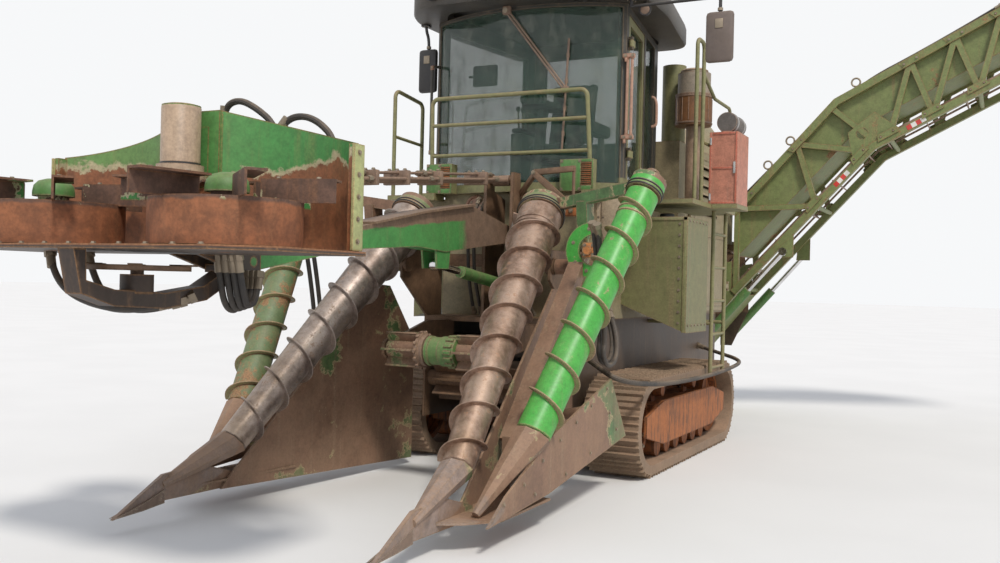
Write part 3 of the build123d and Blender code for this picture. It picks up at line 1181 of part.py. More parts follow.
def make_second_duct():
    """The second extractor's throat, cut to sit on the sloping top of the truss."""
    r, w = FAN_RADIUS, 12
    tube = hollow_rod((SECOND_U, SLEW_Y, SECOND_Z - 620), (SECOND_U, SLEW_Y, SECOND_Z), r, r - w)
    under = elevator_plate(band(-900, TRUSS_TOP + CHORD / 2 + SEAT_GAP, 0, UPPER_LENGTH + 600), -600, 600)
    arms = [Pos(SECOND_U, SLEW_Y, 0) * Rot(0, 0, a) * block((0, r - 4), (-16, 16), (SECOND_Z - 150, SECOND_Z - 118))
            for a in (90, 210, 330)]
    motor = rod((SECOND_U, SLEW_Y, SECOND_Z - 190), (SECOND_U, SLEW_Y, SECOND_Z - 108), 70)
    socket = rod((SECOND_U, SLEW_Y, SECOND_Z - 170), (SECOND_U, SLEW_Y, SECOND_Z - 100), SHAFT_RADIUS + PIN_CLEARANCE)
    top = TRUSS_TOP + CHORD / 2
    base = [elevator_point("upper", a, up) for a, up in ((UPPER_LENGTH - 1050, top), (UPPER_LENGTH - 60, top),
                                                         (UPPER_LENGTH - 60, top + 12), (UPPER_LENGTH - 1050, top + 12))]
    mouth = rod((SECOND_U, SLEW_Y, SECOND_Z - 700), (SECOND_U, SLEW_Y, SECOND_Z + 50), r - w)
    return weld(tube - under, elevator_plate(base, -TRUSS_HALF, TRUSS_HALF) - mouth, *arms, motor) - socket


def make_second_hood():
    return Pos(SECOND_U, SLEW_Y, 0) * elbow(FAN_RADIUS, 10, SECOND_Z + SEAT_GAP, FAN_RADIUS + 10, HOOD_BEND)


FLAP_HINGE = (elevator_point("upper", UPPER_LENGTH + 60, TRUSS_TOP)[0], elevator_point("upper", UPPER_LENGTH + 60, TRUSS_TOP)[1])


def make_flap():
    """The bent plate at the discharge that throws the billets down."""
    u, z = FLAP_HINGE
    outline = [(u, z - 10), (u + 420, z - 70), (u + 640, z - 560), (u + 655, z - 553), (u + 432, z - 56), (u, z + 10)]
    half = TROUGH_HALF + 20
    plate = elevator_plate(outline, -half, half)
    cheeks = [elevator_plate([(u + 40, z - 16), (u + 420, z - 70), (u + 640, z - 560), (u + 560, z - 540), (u + 350, z - 150)],
                             w, w + 8) for w in (-half, half - 8)]
    barrel = elevator_rod((u, z), -half, half, 26)
    bore = elevator_rod((u, z), -half - 5, half + 5, 16)
    return weld(plate, *cheeks, barrel) - bore


def make_flap_pins():
    """Ears at the end of the truss that hold the flap's pins."""
    u, z = FLAP_HINGE
    half = TROUGH_HALF + 20
    pieces = []
    for s in (-1, 1):
        w0, w1 = sorted((s * (half + 8), s * (half + 28)))
        end = elevator_point("upper", UPPER_LENGTH - 120, TRUSS_TOP + CHORD / 2)
        end2 = elevator_point("upper", UPPER_LENGTH - 10, TRUSS_TOP - CHORD / 2)
        ear = elevator_plate([end, (u + 30, z + 40), (u + 40, z - 30), end2], w0, w1)
        pieces += [ear, elevator_rod((u, z), s * (half - 90), s * (half + 10), 15)]
    return pieces


def export_all():
    """Writes every node, moved so that the model's floor centre is the origin."""
    corners = [shape.bounding_box() for shape in PARTS.values()]
    x = (min(c.min.X for c in corners) + max(c.max.X for c in corners)) / 2
    y = (min(c.min.Y for c in corners) + max(c.max.Y for c in corners)) / 2
    z = min(c.min.Z for c in corners)
    shift = Pos(-x, -y, -z)
    os.makedirs("parts", exist_ok=True)
    for name, shape in PARTS.items():
        export_step(shift * shape, f"parts/{name}.step")
    return x, y, z


def build():
    barrels, stems = make_elevator_rams()
    lift_barrel, lift_rod = make_ram(LIFT_BASE, LIFT_EYE, 45, 25, 0, 28, 780)
    cleaner, muffler = make_air_cleaner()
    divider = make_divider()
    inner = make_screw(INNER_SCREW_LOW, INNER_SCREW_HIGH, INNER_SCREW_RADII, INNER_PITCH, 1)
    outer = make_screw(OUTER_SCREW_LOW, OUTER_SCREW_HIGH, OUTER_SCREW_RADII, OUTER_PITCH, -1)
    track, track_frame = make_track(), make_track_frame()
    PARTS.update({
        "main_frame": make_main_frame(),
        "track_left": track,
        "track_right": mirrored(track),
        "track_frames": Part() + both_sides(track_frame),
        "cab_base": make_cab_base(),
        "cab_shell": make_cab(),
        "cab_glass": Part() + [make_windscreen(), *make_side_panes()],
        "cab_roof": make_roof(),
        "mirrors": make_mirrors(),
        "wiper": make_wiper(),
        "operator_seat": make_seat(),
        "steering": make_steering(),
        "cab_door": make_door(),
        "door_glass": make_door_glass(),
        "front_rail": make_front_rail(),
        "platforms": make_platforms(),
        "side_tanks": Part() + [make_left_tank(), make_right_tank()],
        "air_cleaner": cleaner,
        "muffler": muffler,
        "red_locker": make_locker(),
        "engine": make_engine(),
        "engine_housing": make_engine_housing(),
        "engine_door_left": make_engine_door(1),
        "engine_door_right": make_engine_door(-1),
        "extractor_duct": make_duct(),
        "extractor_hood": make_extractor_hood(),
        "extractor_fan": make_fan((0, DUCT_Y), DUCT_TOP_Z + 5, DUCT_RADIUS - DUCT_WALL - 25, 4, 60),
        "topper_arm": make_topper_arm(),
        "topper_link": make_topper_link(),
        "topper_head": make_topper_head(),
        "gathering_drum_left": make_drum(1),
        "gathering_drum_right": make_drum(-1),
        "topper_knife": make_topper_knife(),
        "topper_lift_barrel": lift_barrel,
        "topper_lift_rod": lift_rod,
        "divider_left": divider,
        "divider_right": mirrored(divider),
        "inner_screw_left": inner,
        "inner_screw_right": mirrored(inner),
        "outer_screw_left": outer,
        "outer_screw_right": mirrored(outer),
        "base_cutter_left": make_base_cutter(CUTTER_X),
        "base_cutter_right": make_base_cutter(-CUTTER_X),
        "knockdown_roller": make_paddle_roller(KNOCKDOWN, 400, 140, 70, 6),
        "fin_roller": make_paddle_roller(FIN_ROLLER, 540, 170, 80, 8),
        "butt_roller": make_paddle_roller(BUTT_ROLLER, 540, 100, 70, 8),
        "slew_table": make_slew_table(),
        "elevator_bowl": make_bowl(),
        "elevator_truss": make_truss(),
        "slat_chain": make_slat_chain(),
        "elevator_ram_barrels": barrels,
        "elevator_ram_rods": stems,
        "second_duct": make_second_duct(),
        "second_hood": make_second_hood(),
        "second_fan": make_fan((SECOND_U, SLEW_Y), SECOND_Z - 100, FAN_RADIUS - 12 - 20, 4, 60),
        "bin_flap": make_flap(),
    })


build()
export_all()
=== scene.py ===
"""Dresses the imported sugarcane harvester: finishes, smooth pieces in place of plain ones, and a studio."""

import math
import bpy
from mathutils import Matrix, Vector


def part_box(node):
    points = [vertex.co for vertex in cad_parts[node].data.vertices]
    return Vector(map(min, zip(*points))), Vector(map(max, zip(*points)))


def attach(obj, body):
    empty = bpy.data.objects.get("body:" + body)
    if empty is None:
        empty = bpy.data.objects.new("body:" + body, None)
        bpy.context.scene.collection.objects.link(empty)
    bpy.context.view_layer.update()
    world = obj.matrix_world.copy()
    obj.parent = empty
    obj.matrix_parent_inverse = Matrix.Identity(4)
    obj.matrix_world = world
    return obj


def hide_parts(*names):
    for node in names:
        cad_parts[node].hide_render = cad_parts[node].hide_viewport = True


bl_info = {
    "name": "Sugarcane Harvester",
    "version": (1, 0, 0),
    "blender": (4, 5, 0),
    "location": "View3D > Sidebar > Harvester",
    "description": "Finishes and fine pieces for a tracked sugarcane harvester",
    "category": "Object",
}

import bmesh
import bpy
from mathutils import Matrix, Vector

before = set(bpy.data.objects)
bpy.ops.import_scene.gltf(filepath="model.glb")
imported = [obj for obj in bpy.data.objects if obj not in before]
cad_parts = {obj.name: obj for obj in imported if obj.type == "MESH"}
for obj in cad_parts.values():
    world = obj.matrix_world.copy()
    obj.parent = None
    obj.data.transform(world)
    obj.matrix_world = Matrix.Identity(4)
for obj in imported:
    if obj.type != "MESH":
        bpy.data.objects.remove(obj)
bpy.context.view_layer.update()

# The machine's own frame, as in the part's drawing, is found from the low corner of the red locker.
LOCKER_CORNER = (1.25, 1.48)
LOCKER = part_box("red_locker")
ORIGIN = Vector((LOCKER[0].x - LOCKER_CORNER[0], LOCKER[0].y - LOCKER_CORNER[1], 0.0))

SIDES = ((1, "left"), (-1, "right"))
FULL_TURN = math.tau


def at(x, y, z):
    """A point given in the machine's own frame, in metres."""
    return ORIGIN + Vector((x, y, z))


def mm(x, y, z):
    """The same in millimetres, as the part's drawing has it."""
    return at(x / 1000, y / 1000, z / 1000)


def rgba(colour, factor=1.0):
    """A colour with its alpha, made darker or lighter by a factor."""
    return (*(min(channel * factor, 1.0) for channel in colour), 1.0)


# Node graphs


class Graph:
    """Short calls for adding and linking the nodes of one material or group."""

    def __init__(self, tree):
        self.tree = tree
        tree.nodes.clear()

    def node(self, kind, inputs=None, **settings):
        made = self.tree.nodes.new(kind)
        for key, value in settings.items():
            setattr(made, key, value)
        for key, value in (inputs or {}).items():
            self.set(made, key, value)
        return made

    def set(self, node, key, value):
        socket = node.inputs[key]
        if isinstance(value, bpy.types.NodeSocket):
            self.tree.links.new(value, socket)
        else:
            socket.default_value = value

    def math(self, operation, a, b=0.0, clamp=False):
        made = self.node("ShaderNodeMath", {0: a, 1: b}, operation=operation, use_clamp=clamp)
        return made.outputs[0]

    def plus(self, a, b):
        return self.math("ADD", a, b)

    def minus(self, a, b):
        return self.math("SUBTRACT", a, b)

    def times(self, a, b):
        return self.math("MULTIPLY", a, b)

    def weighed(self, a, share_a, b, share_b):
        return self.plus(self.times(a, share_a), self.times(b, share_b))

    def noise(self, vector, scale, detail=4.0, roughness=0.6):
        inputs = {"Vector": vector, "Scale": scale, "Detail": detail, "Roughness": roughness}
        return self.node("ShaderNodeTexNoise", inputs).outputs["Fac"]

    def remap(self, *limits):
        """A smooth step: value, low, high, and the values that low and high become."""
        made = self.node("ShaderNodeMapRange", dict(enumerate(limits)), clamp=True,
                         interpolation_type="SMOOTHSTEP")
        return made.outputs[0]

    def mix(self, factor, a, b):
        return self.node("ShaderNodeMix", {0: factor, 6: a, 7: b}, data_type="RGBA").outputs[2]

    def mix_value(self, factor, a, b):
        return self.node("ShaderNodeMix", {0: factor, 2: a, 3: b}, data_type="FLOAT").outputs[0]

    def stretched(self, vector, scale):
        return self.node("ShaderNodeMapping", {"Vector": vector, "Scale": scale}, vector_type="POINT").outputs[0]

    def scaled(self, vector, factor):
        return self.node("ShaderNodeVectorMath", {0: vector, "Scale": factor}, operation="SCALE").outputs[0]

    def split(self, vector):
        return self.node("ShaderNodeSeparateXYZ", {0: vector}).outputs

    def geometry(self, output):
        return self.node("ShaderNodeNewGeometry").outputs[output]

    def relief(self, shader, strength, distance, height):
        bump = self.node("ShaderNodeBump", {"Strength": strength, "Distance": distance, "Height": height})
        self.set(shader, "Normal", bump.outputs[0])


FLOAT, COLOUR, VECTOR = "NodeSocketFloat", "NodeSocketColor", "NodeSocketVector"
GREY, TAN_DUST = (0.5, 0.5, 0.5, 1), (0.42, 0.3, 0.19, 1)


def new_group(name, inputs, outputs):
    """An empty shader node group with named sockets: (graph, its inputs, its outputs)."""
    tree = bpy.data.node_groups.new(name, "ShaderNodeTree")
    graph = Graph(tree)
    for label, kind, default in inputs:
        socket = tree.interface.new_socket(name=label, in_out="INPUT", socket_type=kind)
        if default is not None:
            socket.default_value = default
    for label, kind in outputs:
        tree.interface.new_socket(name=label, in_out="OUTPUT", socket_type=kind)
    enter = graph.node("NodeGroupInput")
    leave = graph.node("NodeGroupOutput")
    return graph, enter.outputs, leave


def build_wear_group():
    """Paint that has worn to bare metal at edges and in patches, with runs of dirt down it."""
    g, given, leave = new_group(
        "Field Wear",
        [("Position", VECTOR, None), ("Paint", COLOUR, GREY), ("Bare", COLOUR, (0.3, 0.2, 0.1, 1)),
         ("Wear", FLOAT, 0.4), ("Edge Wear", FLOAT, 0.6), ("Grain", FLOAT, 1.0), ("Streaks", FLOAT, 0.3)],
        [("Color", COLOUR), ("Mask", FLOAT), ("Height", FLOAT)])
    bevel = g.node("ShaderNodeBevel", {"Radius": 0.014}, samples=4).outputs[0]
    facing = g.node("ShaderNodeVectorMath", {0: bevel, 1: g.geometry("Normal")}, operation="DOT_PRODUCT")
    edge = g.remap(facing.outputs["Value"], 0.995, 0.86)
    place = g.scaled(given["Position"], given["Grain"])
    broad = g.noise(place, 2.3, 8.0, 0.68)
    fine = g.noise(place, 17.0, 5.0, 0.7)
    speck = g.noise(place, 70.0, 3.0, 0.6)
    lift = g.times(g.times(edge, given["Edge Wear"]), g.plus(fine, 0.25))
    level = g.plus(g.weighed(broad, 0.72, fine, 0.28), lift)
    threshold = g.minus(0.86, g.times(given["Wear"], 0.52))
    mask = g.remap(g.minus(level, threshold), -0.02, 0.035)
    run = g.noise(g.stretched(place, (9.0, 9.0, 0.55)), 1.6, 5.0, 0.65)
    streak = g.times(g.remap(run, 0.5, 0.72), given["Streaks"])
    tone = g.remap(g.weighed(fine, 0.6, speck, 0.4), 0.3, 0.7, 0.72, 1.18)
    paint = g.scaled(given["Paint"], tone)
    bare = g.scaled(given["Bare"], g.remap(speck, 0.3, 0.75, 0.6, 1.35))
    g.set(leave, "Color", g.mix(mask, g.mix(streak, paint, bare), bare))
    g.set(leave, "Mask", mask)
    rough = g.times(speck, g.plus(0.25, g.times(mask, 0.75)))
    g.set(leave, "Height", g.minus(rough, g.times(mask, 0.35)))
    return g.tree


def build_dust_group():
    """Field dust that settles on what faces up and gathers low on the machine."""
    g, given, leave = new_group(
        "Field Dust",
        [("Position", VECTOR, None), ("Color", COLOUR, GREY), ("Dust", COLOUR, TAN_DUST),
         ("Amount", FLOAT, 0.5), ("Low", FLOAT, 0.3)],
        [("Color", COLOUR), ("Mask", FLOAT)])
    cloud = g.noise(given["Position"], 3.1, 7.0, 0.62)
    grain = g.noise(given["Position"], 46.0, 3.0, 0.6)
    settled = g.times(g.remap(g.split(g.geometry("Normal"))["Z"], 0.05, 0.95), given["Amount"])
    low = g.times(g.remap(g.split(given["Position"])["Z"], 1.5, 0.15), given["Low"])
    total = g.plus(g.plus(settled, low), g.times(given["Amount"], 0.32))
    mask = g.math("MULTIPLY", total, g.remap(g.weighed(cloud, 0.7, grain, 0.3), 0.3, 0.66), clamp=True)
    g.set(leave, "Color", g.mix(mask, given["Color"], given["Dust"]))
    g.set(leave, "Mask", mask)
    return g.tree


GROUPS = {}


def effect(g, name, inputs):
    """The outputs of a shared group, which is built when it is first asked for."""
    if name not in GROUPS:
        GROUPS[name] = {"wear": build_wear_group, "dust": build_dust_group}[name]()
    return g.node("ShaderNodeGroup", inputs, node_tree=GROUPS[name]).outputs


def blank_material(name):
    """A material with an empty principled shader: (material, graph, shader, position)."""
    made = bpy.data.materials.new(name)
    made.use_nodes = True
    g = Graph(made.node_tree)
    shader = g.node("ShaderNodeBsdfPrincipled")
    g.set(g.node("ShaderNodeOutputMaterial"), 0, shader.outputs[0])
    return made, g, shader, g.node("ShaderNodeTexCoord").outputs["Object"]


def weathered(name, paint, bare, dust_colour, wear=0.4, edge=0.6, grain=1.0, streaks=0.3, dust=0.4, low=0.3,
              rough=0.5, bare_rough=0.7, bare_metal=0.35, bump=0.25):
    """Paint, wear and dust in one material. paint may be a colour or a function of (graph, position)."""
    made, g, shader, place = blank_material(name)
    worn = effect(g, "wear", {
        "Position": place, "Paint": paint(g, place) if callable(paint) else rgba(paint), "Bare": rgba(bare),
        "Wear": wear, "Edge Wear": edge, "Grain": grain, "Streaks": streaks})
    dusty = effect(g, "dust", {"Position": place, "Color": worn["Color"], "Dust": rgba(dust_colour),
                               "Amount": dust, "Low": low})
    g.set(shader, "Base Color", dusty["Color"])
    g.set(shader, "Roughness", g.mix_value(dusty["Mask"], g.mix_value(worn["Mask"], rough, bare_rough), 0.95))
    shine = g.times(worn["Mask"], bare_metal)
    g.set(shader, "Metallic", g.times(shine, g.minus(1.0, dusty["Mask"])))
    g.relief(shader, bump, 0.004, worn["Height"])
    return made


def plain_finish(name, colour, rough, metal=0.0, dust=0.25, coat=0.0, bump=0.15):
    """Rubber, plastic, chrome or lamp glass: one colour with fine grain and a film of dust."""
    made, g, shader, place = blank_material(name)
    speck = g.noise(place, 90.0, 4.0, 0.6)
    cloud = g.noise(place, 6.0, 5.0, 0.6)
    toned = g.mix(g.remap(cloud, 0.3, 0.7), rgba(colour, 0.82), rgba(colour, 1.12))
    dusty = effect(g, "dust", {"Position": place, "Color": toned, "Amount": dust, "Low": dust * 0.6})
    g.set(shader, "Base Color", dusty["Color"])
    clean = g.remap(speck, 0.2, 0.8, rough * 0.85, rough * 1.15)
    g.set(shader, "Roughness", g.mix_value(dusty["Mask"], clean, 0.92))
    g.set(shader, "Metallic", metal)
    g.set(shader, "Coat Weight", coat)
    g.relief(shader, bump, 0.002, speck)
    return made


# Paints that change over a piece


def machine_axes(g, place):
    """The position split into the machine's own x, y and z."""
    moved = g.node("ShaderNodeVectorMath", {0: place, 1: tuple(ORIGIN)}, operation="SUBTRACT")
    axes = g.split(moved.outputs[0])
    return axes["X"], axes["Y"], axes["Z"]


def uneven(g, place, scale, size, detail=7.0):
    """Noise about zero, to make an edge ragged."""
    return g.times(g.minus(g.noise(place, scale, detail, 0.68), 0.5), size)


def mottled(g, place, colour, low=0.6, scale=11.0):
    """A colour broken up by darker clouds of itself."""
    return g.mix(g.remap(g.noise(place, scale, 6.0, 0.7), 0.35, 0.65), rgba(colour), rgba(colour, low))


HOOD_LINE, HOOD_BASE = 1.955, 1.592


def hood_paint(green, rust, pale, dark):
    """Green above and rust below, parted by a pale ragged edge, as on the topper's hood, with painted shade in near
    black below the hood's base.
    """

    def paint(g, place):
        x, y, z = machine_axes(g, place)
        lean = g.times(g.math("ABSOLUTE", x), -0.1)
        height = g.plus(g.plus(z, uneven(g, place, 4.2, 0.34, 9.0)), lean)
        above = g.remap(height, HOOD_LINE, HOOD_LINE + 0.013)
        rim = g.times(g.remap(height, HOOD_LINE - 0.017, HOOD_LINE - 0.003),
                      g.remap(height, HOOD_LINE + 0.03, HOOD_LINE + 0.005))
        behind = g.remap(g.split(g.geometry("True Normal"))["Y"], 0.02, 0.12)
        olive = (green[0] * 2.6, green[1] * 1.05, green[2] * 1.3)
        aged = g.plus(g.times(x, -0.9), g.plus(uneven(g, place, 1.7, 1.1, 5.0), 0.15))
        faded = g.mix(g.remap(aged, -0.35, 0.75), rgba(green), rgba(olive))
        two = g.mix(g.math("MAXIMUM", above, behind), mottled(g, place, rust), faded)
        edged = g.mix(g.times(rim, g.minus(1.0, behind)), two, rgba(pale))
        # Painted shade: below the hood's base the head's plate and beam are made near black, as they lie in shadow.
        return g.mix(g.remap(z, HOOD_BASE, HOOD_BASE - 0.008), edged, rgba(dark))

    return paint


def drum_paint(rust, brown, green, pale):
    """Rust on the drum's side, brown vanes above it, and scraps of green in pale rims near the top."""

    def paint(g, place):
        z = machine_axes(g, place)[2]
        top = g.remap(g.plus(z, uneven(g, place, 7.0, 0.05)), 1.775, 1.79)
        patch = g.noise(place, 3.4, 6.0, 0.6)
        inside = g.times(g.remap(patch, 0.585, 0.595), top)
        rim = g.times(g.remap(patch, 0.565, 0.575), top)
        soil = g.mix(top, mottled(g, place, rust, 0.62), mottled(g, place, brown, 0.55))
        return g.mix(inside, g.mix(rim, soil, rgba(pale)), rgba(green))

    return paint


def arm_paint(green, brown):
    """A green web under a widening band of brown dust, all brown near the tower."""

    def paint(g, place):
        x, y, z = machine_axes(g, place)
        ragged = uneven(g, place, 6.0, 0.05)
        top = g.plus(g.times(y, 0.162), 2.127)
        band = g.plus(g.times(y, 0.05), 0.125)
        depth = g.plus(g.minus(g.minus(top, z), band), ragged)
        front = g.remap(g.plus(y, g.times(ragged, 4.0)), -0.68, -0.78)
        web = g.times(g.remap(depth, -0.004, 0.01), front)
        return g.mix(web, mottled(g, place, brown, 0.75), rgba(green))

    return paint


def stacked_paint(bands, ragged=0.01):
    """Colours from the ground up: (height where it ends, colour), the last one without an end."""

    def paint(g, place):
        level = g.plus(machine_axes(g, place)[2], uneven(g, place, 9.0, ragged))
        result = mottled(g, place, bands[0][1], 0.82)
        for (height, _), (_, colour) in zip(bands, bands[1:]):
            step = g.remap(level, height - 0.004, height + 0.004)
            result = g.mix(step, result, mottled(g, place, colour, 0.82))
        return result

    return paint


def frame_paint(brown, dark):
    """Brown steel, with painted shade darkening the long walls between the tracks and under the housings."""

    def paint(g, place):
        x, y, z = machine_axes(g, place)
        # Painted shade: the low walls behind the front, under the cab and tanks, are darkened as if they lie in
        # shadow.
        under = g.times(g.remap(y, -0.06, 0.05), g.remap(z, 1.21, 1.17))
        painted_shade = g.plus(under, uneven(g, place, 2.6, 0.5, 8.0))
        return g.mix(g.times(g.remap(painted_shade, 0.1, 0.9), under), mottled(g, place, brown, 0.7), rgba(dark))

    return paint


def streaked_paint(light, dark):
    """Upright streaks of dirt over a bright ground."""

    def paint(g, place):
        streak = g.noise(g.stretched(place, (6.0, 6.0, 1.1)), 3.0, 8.0, 0.72)
        return g.mix(g.remap(streak, 0.46, 0.62), rgba(light), rgba(dark))

    return paint


def divider_paint(brown, green, pale, steel):
    """Reddish brown plate with torn patches of old green in pale rims, and steel noses."""

    def paint(g, place):
        x, y, z = machine_axes(g, place)
        outer = g.times(g.remap(g.math("ABSOLUTE", x), 0.98, 1.02), g.remap(z, 0.32, 0.4))
        nearer = g.times(g.times(outer, g.remap(y, -1.6, -1.75)), 0.07)
        torn = g.plus(g.noise(g.stretched(place, (1.0, 0.8, 0.9)), 1.9, 9.0, 0.66), nearer)
        streak = g.remap(g.noise(g.stretched(place, (5.0, 1.0, 1.0)), 2.0, 6.0, 0.6), 0.3, 0.7)
        soil = g.mix(streak, rgba(brown, 0.66), rgba(brown))
        old_green = mottled(g, place, [c * 0.8 + 0.02 for c in green], 0.6, 7.0)
        plate = g.mix(g.remap(torn, 0.57, 0.578), g.mix(g.remap(torn, 0.55, 0.562), soil, rgba(pale)), old_green)
        nose = g.times(g.remap(y, -2.12, -2.15), g.remap(g.minus(z, g.times(y, 0.36)), 0.98, 1.0))
        return g.mix(nose, plate, mottled(g, place, steel, 0.55, 5.0))

    return paint


def make_glass(tint):
    """Tinted panes with a film of dust and smears that hide more of the inside."""
    made, g, shader, place = blank_material("tinted_glass")
    film = g.noise(place, 5.0, 7.0, 0.7)
    smear = g.noise(g.stretched(place, (3.0, 3.0, 0.7)), 2.0, 6.0, 0.7)
    dirt = g.times(g.remap(g.weighed(film, 0.5, smear, 0.5), 0.46, 0.72), 0.34)
    g.set(shader, "Base Color", g.mix(dirt, rgba(tint), (0.42, 0.37, 0.27, 1)))
    g.set(shader, "Roughness", g.mix_value(dirt, 0.03, 0.5))
    g.set(shader, "Alpha", g.math("ADD", 0.38, g.times(dirt, 0.9), clamp=True))
    g.set(shader, "Coat Weight", 0.6)
    g.set(shader, "Coat Roughness", 0.03)
    return made


def make_screw_steel(name, light, dark, patch):
    """Pipe polished by cane: bands of grey and brown round it and rust between."""
    made, g, shader, place = blank_material(name)
    broad = g.noise(place, 3.0, 8.0, 0.7)
    fine = g.noise(place, 26.0, 6.0, 0.65)
    speck = g.noise(place, 110.0, 3.0, 0.6)
    tone = g.mix(g.remap(g.weighed(broad, 0.7, fine, 0.3), 0.38, 0.62), rgba(dark), rgba(light))
    spots = g.remap(g.weighed(fine, 0.6, speck, 0.4), 0.54, 0.62)
    worn = g.mix(g.times(spots, 0.8), tone, rgba(patch))
    dusty = effect(g, "dust", {"Position": place, "Color": worn, "Amount": 0.22, "Low": 0.25})
    g.set(shader, "Base Color", dusty["Color"])
    g.set(shader, "Roughness", g.mix_value(spots, 0.42, 0.8))
    g.set(shader, "Metallic", g.mix_value(spots, 0.75, 0.1))
    g.relief(shader, 0.3, 0.003, g.plus(fine, speck))
    return made


def make_fabric(name, colour):
    """Woven cloth of crossed threads."""
    made, g, shader, place = blank_material(name)
    threads = {"Vector": place, "Scale": 120.0, "Distortion": 0.6}
    weave = g.node("ShaderNodeTexWave", threads, wave_type="BANDS")
    cross = g.node("ShaderNodeTexWave", threads, wave_type="BANDS", bands_direction="Z")
    thread = g.times(weave.outputs["Fac"], cross.outputs["Fac"])
    g.set(shader, "Base Color", g.mix(thread, rgba(colour, 0.6), rgba(colour, 1.4)))
    g.set(shader, "Roughness", g.remap(thread, 0.0, 1.0, 0.95, 0.8))
    g.set(shader, "Sheen Weight", 0.3)
    g.relief(shader, 0.4, 0.001, thread)
    return made


MATERIALS = {}


